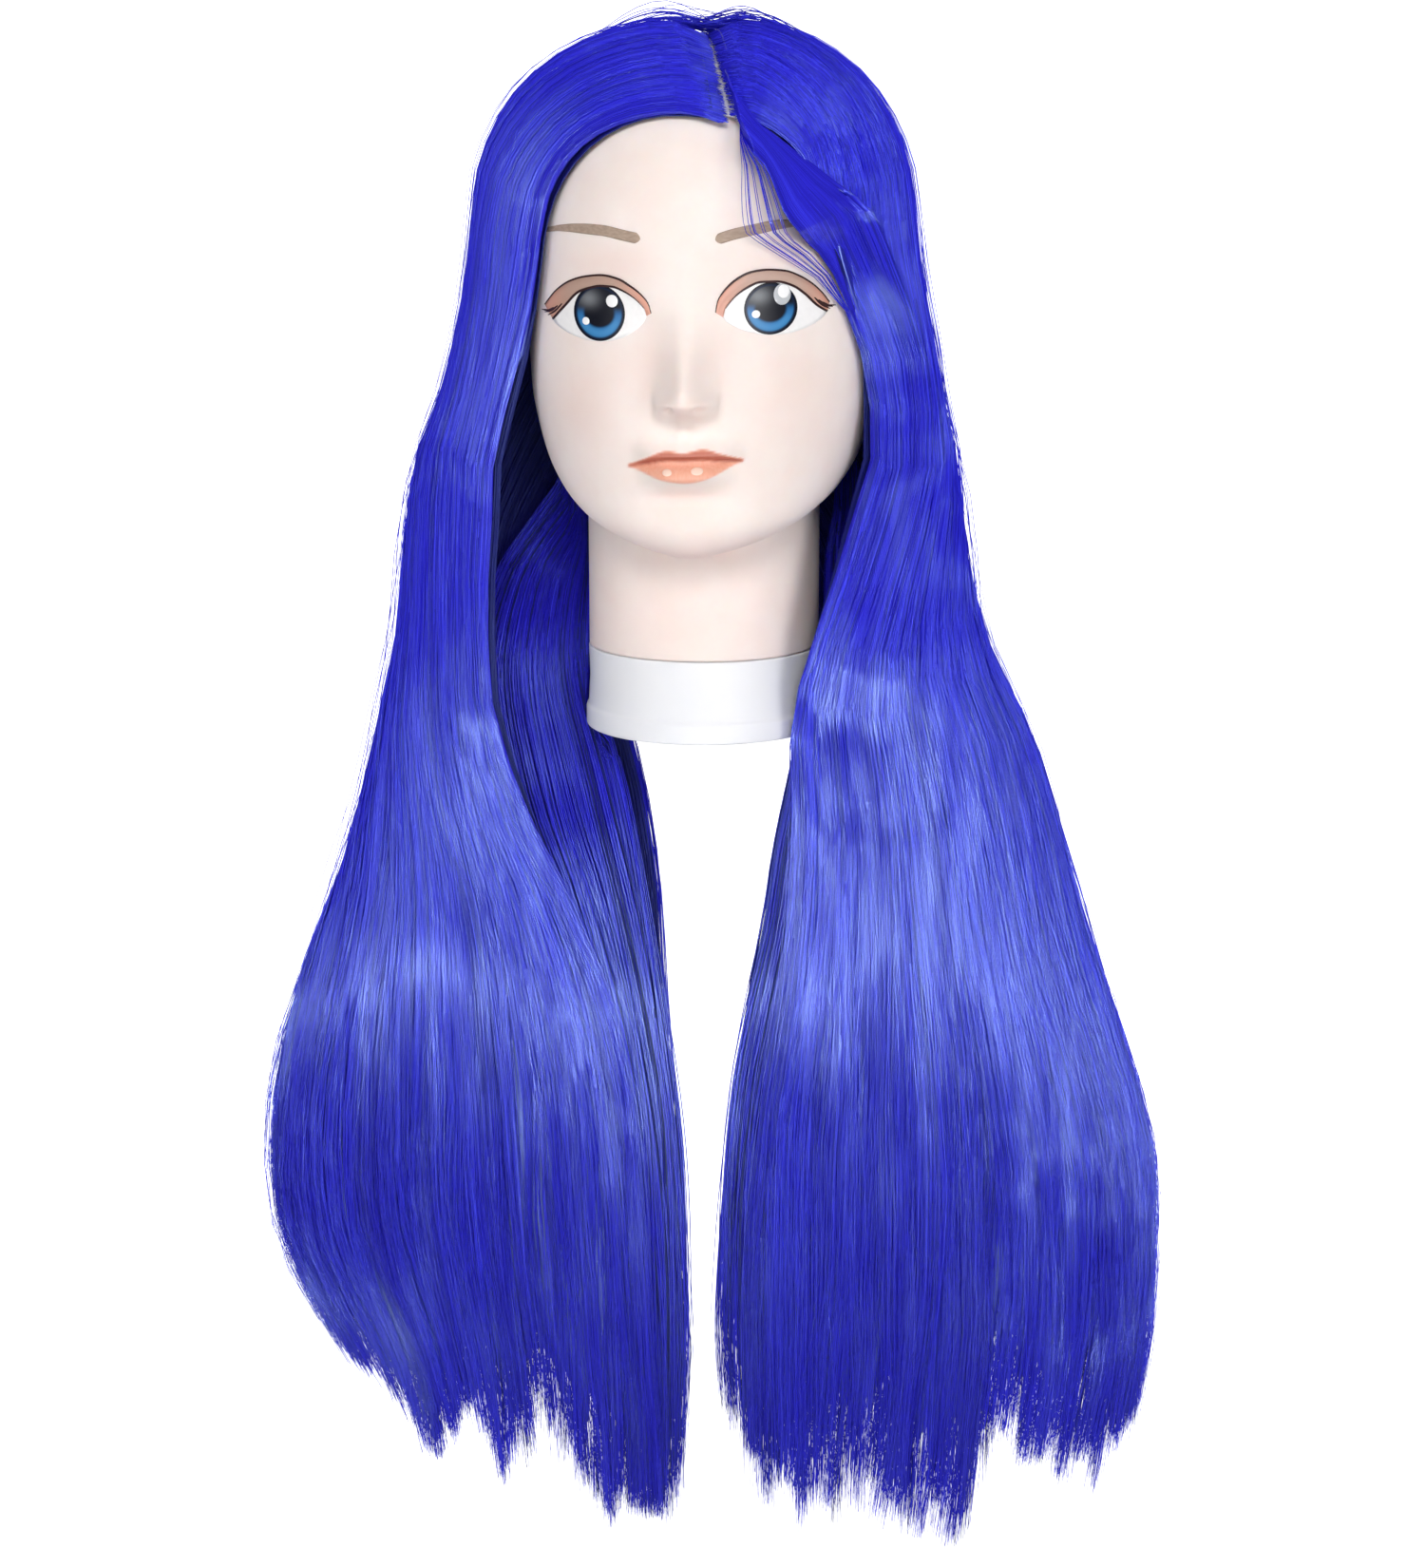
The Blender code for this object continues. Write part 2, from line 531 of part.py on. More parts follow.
def build_cap(mats):
    n, m = 36, 13
    az = [2 * math.pi * k / n for k in range(n)]
    rings_o, rings_i = [], []
    for r in range(1, m + 1):
        pol = [math.radians(cap_edge(a)) * r / m for a in az]
        rings_o.append(polar(az, pol, 2.2))
        rings_i.append(polar(az, pol, 1.65))
    bm = bmesh.new()
    vo, vi = verts(bm, rings_o), verts(bm, rings_i)
    for rows, off in ((vo, 2.2), (vi, 1.65)):
        grid_faces(bm, rows, True)
        pole = bm.verts.new(Vector(polar(0.0, 0.0, off)) * MM)
        for j in range(n):
            bm.faces.new((rows[0][j], rows[0][(j + 1) % n], pole))
    grid_faces(bm, [vo[-1], vi[-1]], True)
    bmesh.ops.triangulate(bm, faces=bm.faces, quad_method='FIXED')
    add("wig_cap", bm, mats["net"])

    def band(name, a0, a1, p0, p1, lo, hi, mat, seg):
        a = np.radians(np.linspace(a0, a1, seg + 1))[:, None]
        p = np.array([[math.radians(p0(t)), math.radians(p1(t))] for t in a[:, 0]])
        inner = polar(a, p, lo)
        outer = polar(a, p, hi)
        add(name, slab(inner, outer), mat)

    for k, lv in enumerate((66.0, 79.0, 92.0, 105.0, 118.0)):
        # each row ends where the cap's edge comes near
        need = lv + 12.0
        half = 50.0
        while cap_edge(math.radians(half)) < need and half < 170:
            half += 1.0
        half = max(half, 62.0)
        band("weft_track_%d" % (k + 1), half, 360 - half, lambda t, v=lv: v, lambda t, v=lv: v + 2.6,
             3.1, 3.9, mats["tape"], 24)
    band("nape_band", 116, 244, lambda t: cap_edge(t) - 8.0, lambda t: cap_edge(t) - 1.0, 3.1, 3.9,
         mats["tape"], 14)

    # scalp strip under the parting
    u = np.linspace(0.02, 0.30, 10)
    al = np.radians(36.5 + u / U_TOP * 143.5)
    rows_i, rows_o = [], []
    for uu, aa in zip(u, al):
        g = float(part_gap(uu)) - 0.6
        c = float(part_x(uu))
        dy, dz = -math.cos(aa) * 93.0, math.sin(aa) * 86.0
        pts = np.array([[c - g, 6 + dy, 205 + dz], [c + g, 6 + dy, 205 + dz]])
        o = np.array([[0.0, 6.0, 190.0]] * 2)
        d = pts - o
        d /= np.linalg.norm(d, axis=1, keepdims=True)
        rows_i.append(cast(o, d, 3.0))
        rows_o.append(cast(o, d, 3.8))
    add("parting_strip", slab(rows_i, rows_o), mats["scalp"])


def upper_hair(name, side, ua, ub, mat, cols, last):
    """Combed sheet from the parting down to the level of the neck."""
    f = np.linspace(0, 1, cols)
    rows = {0.0: [], 1.0: []}
    margin = 0.004
    for w in (0.0, 1.0):
        for s in (0.0, 0.12, 0.28, 0.46, 0.66, 0.86):
            top = min(ub, U_TOP)
            u = ua + (0 if ua == 0 else margin) + (top - (0 if last else margin) - ua - (0 if ua == 0 else margin)) * f
            rows[w].append(dome(side, u, np.full(cols, s), np.full(cols, w)))
        for z in (205.0, 185.0, 165.0, 145.0, 125.0, 108.0, 90.0, 72.0, 57.0, CUT_Z + 0.5):
            um = float(u_max(z))
            a = ua + (0 if ua == 0 else margin)
            b = um if last else ub - margin
            q = (a + (b - a) * f) / um
            rows[w].append(sheet(side, q, np.full(cols, z), np.full(cols, w)))
    inner, outer = np.array(rows[0.0]), np.array(rows[1.0])
    inner = push(inner, 5.4)
    d = outer - inner
    ln = np.linalg.norm(d, axis=-1, keepdims=True)
    outer = np.where(ln < 2.0, inner + d / np.maximum(ln, 1e-3) * 2.0, outer)
    outer = push(outer, 7.4)
    for g in (inner, outer):
        g[-1, :, 2] = CUT_Z + 0.5
        if last:
            g[..., -1, 0] = side * np.maximum(side * g[..., -1, 0], 0.6)
    add(name, slab(inner, outer), mat)


def tail(name, side, fa, fb, mat, body, tips):
    """Filled slice of a loose tail between two fractions of its width."""
    fr = np.linspace(fa + (0.002 if fa > 0 else 0), fb - (0.002 if fb < 1 else 0), 4)
    x45 = curve(CUT_Z, INNER[side]) + fr * (curve(CUT_Z, SIL[side]) - curve(CUT_Z, INNER[side]))
    ztop = CUT_Z - np.maximum(x45 - PIVOT_X, 0) * SWING_SLOPE
    zbot = curve(fr, tips)
    rings = []
    for t in np.linspace(0, 1, 13):
        t = t ** 0.9
        z = ztop + (zbot - ztop) * t
        xi, xo = curve(z, INNER[side]), curve(z, SIL[side])
        x = xi + fr * (xo - xi)
        th, cy = curve(z, DEPTH, 1), curve(z, DEPTH, 2)
        full = np.sqrt(np.clip(1 - ((x - xi) / (xo - xi)) ** 2, 0.05, 1))
        yf = cy - (curve(z, DEPTH, 3) + th / 2) * full
        yb = cy + (curve(z, DEPTH, 4) + th / 2) * full
        back = yb - th
        inner_share = smooth(0.42, 0.30, fr) * smooth(-150, 0, z)
        yf = yf + (back - yf) * inner_share
        ring = [(side * a, b, c) for a, b, c in zip(x, yf, z)]
        ring += [(side * a, b, c) for a, b, c in zip(x[::-1], yb[::-1], z[::-1])]
        rings.append(ring)
    bm = loft(rings)
    bmesh.ops.triangulate(bm, faces=bm.faces, quad_method='FIXED')
    add(name, bm, mat, parent=body)


def main():
    for o in list(bpy.data.objects):
        bpy.data.objects.remove(o)
    mats = {
        "skin": material("skin_vinyl", (0.90, 0.78, 0.73), 0.45),
        "foam": material("core_foam", (0.85, 0.80, 0.62), 0.9),
        "white": material("base_plastic", (0.87, 0.88, 0.90), 0.35),
        "grey": material("socket_plastic", (0.55, 0.56, 0.58), 0.5),
        "steel": material("screw_steel", (0.6, 0.6, 0.62), 0.3, 1.0),
        "net": material("cap_net", (0.03, 0.03, 0.16), 0.8),
        "tape": material("weft_tape", (0.03, 0.03, 0.3), 0.8),
        "scalp": material("scalp_strip", (0.72, 0.72, 0.74), 0.6),
        "hair": material("hair_fibre", (0.03, 0.03, 0.62), 0.35),
    }
    build_head(mats)
    build_base(mats)
    build_cap(mats)
    tips = {-1: [(0, -378), (0.18, -384), (0.35, -366), (0.5, -350), (0.66, -352), (0.82, -340), (1, -296)],
            1: [(0, -345), (0.18, -372), (0.4, -374), (0.62, -382), (0.8, -352), (1, -318)]}
    for side, word in ((-1, "left"), (1, "right")):
        upper_hair(word + "_front_hair", side, 0.0, 0.22, mats["hair"], 7, False)
        upper_hair(word + "_side_hair", side, 0.22, 0.48, mats["hair"], 7, False)
        upper_hair(word + "_back_hair", side, 0.48, 1.0, mats["hair"], 9, True)
        body = empty(word + "_tail_pivot", (side * PIVOT_X * MM, 0, PIVOT_Z * MM))
        tail(word + "_tail_inner", side, 0.0, 0.36, mats["hair"], body, tips[side])
        tail(word + "_tail_middle", side, 0.36, 0.68, mats["hair"], body, tips[side])
        tail(word + "_tail_outer", side, 0.68, 1.0, mats["hair"], body, tips[side])


main()
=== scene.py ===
# Looks of the hairdressing training head: vinyl face with painted features,
# strand hair, neck base, and the plain studio round it.
import bpy
import bmesh
import math
import numpy as np
from mathutils import Vector, Matrix


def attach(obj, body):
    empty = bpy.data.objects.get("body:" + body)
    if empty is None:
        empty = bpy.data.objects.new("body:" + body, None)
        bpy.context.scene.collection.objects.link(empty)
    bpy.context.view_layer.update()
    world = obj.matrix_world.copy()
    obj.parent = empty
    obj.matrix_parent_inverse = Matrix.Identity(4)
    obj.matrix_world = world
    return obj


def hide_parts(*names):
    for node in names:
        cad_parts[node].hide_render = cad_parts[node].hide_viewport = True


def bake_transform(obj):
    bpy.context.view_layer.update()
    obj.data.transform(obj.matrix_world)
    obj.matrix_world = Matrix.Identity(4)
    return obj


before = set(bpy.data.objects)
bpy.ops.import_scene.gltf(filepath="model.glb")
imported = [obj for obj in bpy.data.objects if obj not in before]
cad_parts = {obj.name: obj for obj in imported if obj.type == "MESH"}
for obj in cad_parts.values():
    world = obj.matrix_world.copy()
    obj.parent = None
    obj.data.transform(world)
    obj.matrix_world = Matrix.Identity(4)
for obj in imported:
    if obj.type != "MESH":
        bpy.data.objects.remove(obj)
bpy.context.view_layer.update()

# ------------------------------------------- the same geometry as the CAD part
MM = 0.001
NECK_R = 50.4            # neck and base, mm
SKIN_BOTTOM = 36.1       # where the vinyl neck stands on the base
SKIN_T = 3.2             # vinyl wall
GAP = 0.35               # running gap between neighbours
BASE_TOP = 35.7
BASE_RIM_R = 52.0
BASE_RIM_H = 9.0
SOCKET_R = 10.5          # clamp socket bore
SOCKET_OUT_R = 15.0
SOCKET_TOP = 61.0
PLATE_Z = (3.5, 6.5)
SCREW_PCR = 36.0         # radius of the screw circle
SKULL_C = (0.0, 6.0, 205.0)
SKULL_AX = (74.0, 93.0, 98.0, 86.0)   # half width, front, back, top
SKULL_P = 2.35           # roundness exponent of the dome
CUT_Z = 45.0             # level where the hair turns into a swinging tail
PIVOT_X = 88.0
PIVOT_Z = 50.0
SWING_SLOPE = math.tan(math.radians(21.0))
U_TOP = 0.76             # share of the strands rooted above the belt level
FEATURE_TILT = 0.025     # the painted face is set a little askew

# level: half width, front, back of the head below the belt (mm)
HEAD_TABLE = [
    (84.0, 7.0, -75.0, -52.0),
    (87.0, 20.0, -81.5, -36.0),
    (92.0, 34.0, -85.0, -22.0),
    (99.0, 48.0, -87.0, 2.0),
    (108.0, 59.0, -87.5, 34.0),
    (120.0, 67.0, -87.5, 58.0),
    (135.0, 72.0, -87.5, 76.0),
    (150.0, 74.6, -87.0, 87.0),
    (170.0, 75.4, -87.0, 97.0),
    (190.0, 74.8, -87.0, 102.5),
    (205.0, 74.0, -87.0, 104.0),
]
# height of the nose ridge above the face plane, by level
NOSE_TABLE = [(132, 0.0), (137, 0.8), (141, 4.5), (144, 10.0), (147, 16.0),
              (150.5, 19.0), (154, 19.0), (160, 15.5), (170, 9.5), (180, 5.0),
              (190, 2.0), (200, 0.6), (208, 0.0)]
NOSE_WIDTH = [(132, 7.0), (144, 9.0), (150, 9.6), (160, 8.8), (175, 9.2), (208, 11.0)]

# polar angle of the wig cap's edge, by azimuth from the front (degrees)
CAP_EDGE = [(0, 43), (26, 46), (40, 57), (52, 71), (70, 87), (90, 97), (120, 118), (180, 140)]

# hair silhouette (mm from the centre plane), per side
SIL = {-1: [(-420, 176), (-360, 184), (-297, 193), (-250, 200), (-211, 202), (-172, 197),
            (-129, 186), (-76, 166), (-30, 151), (18, 140), (38, 135), (66, 132), (89, 130),
            (108, 127), (124, 122), (145, 112), (163, 107), (187, 103), (205, 100)],
       1: [(-420, 182), (-360, 196), (-280, 206), (-213, 205), (-168, 196), (-136, 185),
           (-96, 172), (-34, 153), (2, 140), (22, 129), (45, 120), (66, 115), (92, 111),
           (119, 107), (138, 103), (171, 96), (187, 93), (205, 90)]}
# inner end of the hair sheet
INNER = {-1: [(-420, 12), (-289, 9), (-243, 10), (-196, 12), (-129, 18), (-76, 25), (-30, 34),
              (-7, 41), (11, 47), (30, 50), (60, 47), (90, 25), (115, 0), (205, 0)],
         1: [(-420, 12), (-344, 9), (-288, 5), (-246, 6), (-168, 13), (-128, 20), (-88, 28),
             (-57, 32), (-18, 39), (0, 43), (18, 48), (38, 51), (60, 47), (90, 25), (115, 0),
             (205, 0)]}
# front edge of the hair sheet beside the face
EDGE = {-1: [(-420, 24), (-200, 30), (-130, 42), (-76, 60), (-30, 80), (22, 90), (60, 90), (100, 88),
             (123, 87), (140, 84), (155, 78), (165, 71), (185, 67), (205, 64)],
        1: [(-420, 20), (-200, 26), (-120, 36), (-60, 43), (-20, 48), (0, 50), (22, 52), (50, 56),
            (74, 61), (100, 67), (119, 72), (135, 75), (150, 75), (165, 70), (180, 63), (190, 58),
            (205, 53)]}
# level: sheet thickness, centre y, front depth, back depth
DEPTH = [(-420, 4.0, -2, 3, 3), (-350, 8.0, -2, 5, 5), (-250, 13.0, -2, 8, 9), (-150, 18.0, -1, 14, 15),
         (-60, 22.0, 2, 25, 26), (0, 25.0, 4, 40, 40), (45, 25.0, 7, 50, 52),
         (90, 24.0, 8, 54, 68), (120, 23.0, 7, 60, 84), (150, 22.0, 6, 66, 98),
         (175, 21.0, 6, 71, 106), (205, 20.0, 6, 78, 110)]


# ------------------------------------------------------------ smooth tables
def curve(x, rows, col=1):
    """Monotone cubic through the rows of a small table."""
    xs = np.array([r[0] for r in rows], float)
    ys = np.array([r[col] for r in rows], float)
    h = np.diff(xs)
    s = np.diff(ys) / h
    m = np.zeros(len(xs))
    m[0], m[-1] = s[0], s[-1]
    same = s[:-1] * s[1:] > 0
    w1 = 2 * h[1:] + h[:-1]
    w2 = h[1:] + 2 * h[:-1]
    with np.errstate(divide="ignore", invalid="ignore"):
        hm = (w1 + w2) / (w1 / s[:-1] + w2 / s[1:])
    m[1:-1] = np.where(same, hm, 0.0)
    x = np.clip(np.asarray(x, float), xs[0], xs[-1])
    i = np.clip(np.searchsorted(xs, x, side="right") - 1, 0, len(xs) - 2)
    t = (x - xs[i]) / h[i]
    return ((1 + 2 * t) * (1 - t) ** 2 * ys[i] + t * (1 - t) ** 2 * h[i] * m[i]
            + t * t * (3 - 2 * t) * ys[i + 1] + t * t * (t - 1) * h[i] * m[i + 1])


def smooth(a, b, x):
    t = np.clip((np.asarray(x, float) - a) / (b - a), 0, 1)
    return t * t * (3 - 2 * t)


def bump(v, c, s):
    return np.exp(-((v - c) / s) ** 2)


def smin(a, b, k):
    h = np.clip(0.5 + 0.5 * (b - a) / k, 0, 1)
    return b * (1 - h) + a * h - k * h * (1 - h)


# ---------------------------------------------------------------- the head
def features(x, z):
    """How far the face stands out of its plane, mm towards -Y."""
    z = z - FEATURE_TILT * x
    n = curve(z, NOSE_TABLE) * bump(x, 0, curve(z, NOSE_WIDTH))
    n += 5.0 * bump(np.abs(x), 8.0, 4.2) * bump(z, 148.5, 4.6)
    lips = smooth(25, 13, np.abs(x))
    n += 4.6 * bump(z, 129.3, 4.2) * lips + 5.4 * bump(z, 120.3, 4.4) * smooth(22, 8, np.abs(x))
    n -= 2.2 * bump(z, 125.2, 1.5) * lips
    n += 2.0 * bump(z, 125, 12) * bump(x, 0, 24)
    n -= 0.8 * bump(x, 0, 3.0) * bump(z, 137, 4.0)
    n -= 3.0 * bump(z, 109.5, 5.0) * bump(x, 0, 20)
    n += 2.5 * bump(z, 97, 8.0) * bump(x, 0, 15)
    n += 2.2 * bump(np.abs(x), 38, 18) * bump(z, 150, 20)
    n -= 3.4 * bump(np.abs(x), 33, 19) * bump(z, 188, 15)
    n += 1.6 * bump(np.abs(x), 34, 14) * bump(z, 187, 10)
    return n


def head_f(x, y, z, plain=False):
    """Approximate signed distance to the head and neck, mm.  The plain form
    is the wall's inner side: shallower features and no ears."""
    share = 0.7 if plain else 1.0
    ye = y + share * features(x, z) * smooth(-30, -60, y) * smooth(72, 84, z)
    zc = np.clip(z, 84.0, 205.0)
    w = curve(zc, HEAD_TABLE, 1)
    f = curve(zc, HEAD_TABLE, 2)
    b = curve(zc, HEAD_TABLE, 3)
    cy = np.where(z > 140, 6.0, 0.5 * (f + b) + (6.0 - 0.5 * (f + b)) * smooth(84, 140, z))
    d = np.where(ye < cy, cy - f, b - cy)
    rho = np.maximum(np.sqrt((x / w) ** 2 + ((ye - cy) / d) ** 2), 1e-6)
    zeta = np.maximum(z - 205.0, 0) / SKULL_AX[3]
    k = (rho ** SKULL_P + zeta ** SKULL_P) ** (1 / SKULL_P)
    r = np.sqrt(x * x + (ye - cy) ** 2 + np.maximum(z - 205.0, 0) ** 2)
    head = r * (1 - 1 / k)
    low = np.maximum(84.0 - z, 0)
    head = np.where(low > 0, np.hypot(np.maximum(head, 0), low), head)
    neck = np.hypot(x, y) - NECK_R + np.maximum(z - 135, 0)
    body = smin(head, neck, 13.0)
    if plain:
        return body
    ear = (np.sqrt(((np.abs(x) - 70.5) / 6.0) ** 2 + ((y - 12) / 14.0) ** 2
                   + ((z - 163) / 25.0) ** 2) - 1) * 6.0
    return smin(body, ear, 2.5)


def cast(org, dirs, offset, far=170.0):
    """Outermost crossing of head_f = offset along each ray."""
    plain = offset < 0
    ts = np.linspace(far, 4.0, 140)
    p = org[None] + dirs[None] * ts[:, None, None]
    v = head_f(p[..., 0], p[..., 1], p[..., 2], plain) - offset
    inside = v < 0
    first = np.argmax(inside, axis=0)
    lo = ts[first]
    hi = ts[np.maximum(first - 1, 0)]
    for _ in range(22):
        mid = 0.5 * (lo + hi)
        q = org + dirs * mid[:, None]
        neg = head_f(q[:, 0], q[:, 1], q[:, 2], plain) - offset < 0
        lo = np.where(neg, mid, lo)
        hi = np.where(neg, hi, mid)
    return org + dirs * lo[:, None]


def head_rings(elev, azim, offset):
    """Rings of points: elev holds (origin z, elevation in degrees)."""
    o, d = [], []
    for oz, e in elev:
        oy = 6.0 * float(smooth(75, 130, oz))
        ce, se = math.cos(math.radians(e)), math.sin(math.radians(e))
        for a in azim:
            o.append((0, oy, oz))
            d.append((ce * math.sin(a), -ce * math.cos(a), se))
    p = cast(np.array(o, float), np.array(d, float), offset)
    return p.reshape(len(elev), len(azim), 3)


# ---------------------------------------------------------------- the hair
def u_max(z):
    return 1.0 - (1.0 - U_TOP) * smooth(112, 205, z)


def part_x(u):
    return 17.0 * np.clip(1 - np.asarray(u, float) / 0.3, 0, 1) ** 1.2


def part_gap(u):
    return curve(u, [(0, 5.0), (0.12, 3.4), (0.3, 1.8), (0.45, 0.7), (1.0, 0.7)])


def push(p, least):
    """Move points out of the head until they clear it by `least`."""
    for _ in range(4):
        v = head_f(p[..., 0], p[..., 1], p[..., 2])
        e = 0.5
        g = np.stack([head_f(p[..., 0] + e, p[..., 1], p[..., 2]) - head_f(p[..., 0] - e, p[..., 1], p[..., 2]),
                      head_f(p[..., 0], p[..., 1] + e, p[..., 2]) - head_f(p[..., 0], p[..., 1] - e, p[..., 2]),
                      head_f(p[..., 0], p[..., 1], p[..., 2] + e) - head_f(p[..., 0], p[..., 1], p[..., 2] - e)], -1)
        g /= np.maximum(np.linalg.norm(g, axis=-1, keepdims=True), 1e-6)
        p = p + g * np.maximum(least - v, 0)[..., None]
    return p


def sheet_mid(side, q, z):
    """Middle line of the hair sheet at one level, below the belt."""
    th = curve(z, DEPTH, 1)
    cy = curve(z, DEPTH, 2)
    df = curve(z, DEPTH, 3)
    db = curve(z, DEPTH, 4)
    xi = curve(z, INNER[side])
    xo = curve(z, SIL[side]) - th * 0.5
    xe = curve(z, EDGE[side])
    tf = np.arccos(np.clip((xe - xi) / (xo - xi), 0.0, 0.98))
    a = -tf + q * (math.pi / 2 + tf)
    x = xi + (xo - xi) * np.cos(a)
    y = cy + np.where(a < 0, df, db) * np.sin(a)
    return side * np.hypot(x, 0.7), y


def sheet(side, q, z, w):
    """Point in the hair sheet: w runs from its inner to its outer face."""
    q, z, w = np.broadcast_arrays(*[np.asarray(v, float) for v in (q, z, w)])
    x, y = sheet_mid(side, q, z)
    x1, y1 = sheet_mid(side, np.clip(q + 0.01, 0, 1), z)
    x0, y0 = sheet_mid(side, np.clip(q - 0.01, 0, 1), z)
    tx, ty = x1 - x0, y1 - y0
    ln = np.maximum(np.hypot(tx, ty), 1e-6)
    nx, ny = ty / ln * side, -tx / ln * side
    th = curve(z, DEPTH, 1) * (0.3 + 0.7 * smooth(0, 0.16, q))
    x, y = x + nx * th * (w - 0.5), y + ny * th * (w - 0.5)
    x = side * np.maximum(side * x, 0.6)
    return np.stack([x, y, z], -1)


def dome(side, u, s, w):
    """Point on the crown: s runs from the parting (0) to the belt (1)."""
    u, s, w = np.broadcast_arrays(*[np.asarray(v, float) for v in (u, s, w)])
    al = np.radians(36.5) + np.clip(u / U_TOP, 0, 1) * np.radians(143.5)
    yr = -np.cos(al)
    bx = sheet(side, np.clip(u / U_TOP, 0, 1), np.full(u.shape, 205.0), np.full(u.shape, 0.5))
    yb = (bx[..., 1] - 6.0) / np.where(bx[..., 1] < 6, SKULL_AX[1] + 3, SKULL_AX[2] + 12)
    yb = np.clip(yb, -0.95, 0.999)
    ex = 1.15 if side < 0 else 2.2
    yn = yr + (yb - yr) * s ** ex
    ring = np.sqrt(np.maximum(1 - yn * yn, 0))
    be = s * math.pi / 2
    xn, zn = ring * np.sin(be), ring * np.cos(be)
    k = (np.abs(zn) ** SKULL_P + (xn * xn + yn * yn) ** (SKULL_P / 2)) ** (-1 / SKULL_P)
    xn, yn, zn = xn * k, yn * k, zn * k
    sil = float(curve(205.0, SIL[side]))

    def surf(ax, ay, by, az):
        return np.stack([side * xn * ax, 6 + yn * np.where(yn < 0, ay, by), 205 + zn * az], -1)
    inner = surf(SKULL_AX[0] + 3.4, SKULL_AX[1] + 3.4, SKULL_AX[2] + 3.4, SKULL_AX[3] + 3.4)
    outer = surf(sil, SKULL_AX[1] + 8, SKULL_AX[2] + 21, SKULL_AX[3] + 11.5)
    full = (0.3 + 0.7 * smooth(0, 14, np.abs(inner[..., 0]))) * (0.45 + 0.55 * smooth(0, 0.2, u))
    p = inner + (outer - inner) * (full * w)[..., None]
    # meet the belt exactly
    belt = sheet(side, np.clip(u / U_TOP, 0, 1), np.full(u.shape, 205.0), w)
    p = p + (belt - surf_at_belt(side, u, w, bx, sil)) * smooth(0.45, 1.0, s)[..., None]
    gap = part_gap(u) * (1 - s) + 0.7 * s
    x = part_x(u) * (1 - s) ** 2 + side * np.hypot(p[..., 0], gap)
    return np.stack([x, p[..., 1], p[..., 2]], -1)


def surf_at_belt(side, u, w, bx, sil):
    yb = (bx[..., 1] - 6.0) / np.where(bx[..., 1] < 6, SKULL_AX[1] + 3, SKULL_AX[2] + 12)
    yb = np.clip(yb, -0.95, 0.999)
    xn = np.sqrt(np.maximum(1 - yb * yb, 0))

    def surf(ax, ay, by):
        return np.stack([side * xn * ax, 6 + yb * np.where(yb < 0, ay, by), np.full(yb.shape, 205.0)], -1)
    inner = surf(SKULL_AX[0] + 3.4, SKULL_AX[1] + 3.4, SKULL_AX[2] + 3.4)
    outer = surf(sil, SKULL_AX[1] + 8, SKULL_AX[2] + 21)
    full = (0.3 + 0.7 * smooth(0, 14, np.abs(inner[..., 0]))) * (0.45 + 0.55 * smooth(0, 0.2, u))
    return inner + (outer - inner) * (full * w)[..., None]


# ------------------------------------------------------------------ mesh tools
TAU = 2 * math.pi


def new_mesh(name, co, faces_loops, sizes, mats, mat_index=None, smooth_faces=True):
    """Mesh from arrays: co (N,3) mm, flat loop list, face sizes."""
    me = bpy.data.meshes.new(name)
    co = np.asarray(co, np.float32).reshape(-1, 3) * MM
    loops = np.asarray(faces_loops, np.int32).ravel()
    sizes = np.asarray(sizes, np.int32)
    me.vertices.add(len(co))
    me.vertices.foreach_set("co", co.ravel())
    me.loops.add(len(loops))
    me.loops.foreach_set("vertex_index", loops)
    me.polygons.add(len(sizes))
    starts = np.concatenate([[0], np.cumsum(sizes)[:-1]]).astype(np.int32)
    me.polygons.foreach_set("loop_start", starts)
    me.polygons.foreach_set("loop_total", sizes)
    if mat_index is not None:
        me.polygons.foreach_set("material_index", np.asarray(mat_index, np.int32))
    me.polygons.foreach_set("use_smooth", np.full(len(sizes), smooth_faces))
    me.update(calc_edges=True)
    me.validate()
    for m in mats:
        me.materials.append(m)
    ob = bpy.data.objects.new(name, me)
    bpy.context.scene.collection.objects.link(ob)
    return ob


def quads(n_rows, n_cols, wrap, base=0):
    i = np.arange(n_rows - 1)[:, None]
    j = np.arange(n_cols if wrap else n_cols - 1)[None, :]
    k = (j + 1) % n_cols
    a = i * n_cols + j
    b = i * n_cols + k
    return (np.stack([a, b, b + n_cols, a + n_cols], -1) + base).reshape(-1, 4)


def fix_normals(ob):
    bm = bmesh.new()
    bm.from_mesh(ob.data)
    bmesh.ops.recalc_face_normals(bm, faces=bm.faces)
    bm.to_mesh(ob.data)
    bm.free()


def slab_obj(name, inner, outer, mats):
    """Closed thin body between two grids (rows, cols, 3)."""
    r, c, _ = inner.shape
    co = np.concatenate([inner.reshape(-1, 3), outer.reshape(-1, 3)])
    n = r * c
    q = [quads(r, c, False), quads(r, c, False, n)[:, ::-1]]
    idx = np.arange(n).reshape(r, c)
    rim = np.concatenate([idx[0], idx[1:, -1], idx[-1, -2::-1], idx[-2:0:-1, 0]])
    nxt = np.roll(rim, -1)
    q.append(np.stack([nxt, rim, rim + n, nxt + n], -1))
    f = np.concatenate(q)
    ob = new_mesh(name, co, f, np.full(len(f), 4), mats)
    fix_normals(ob)
    return ob


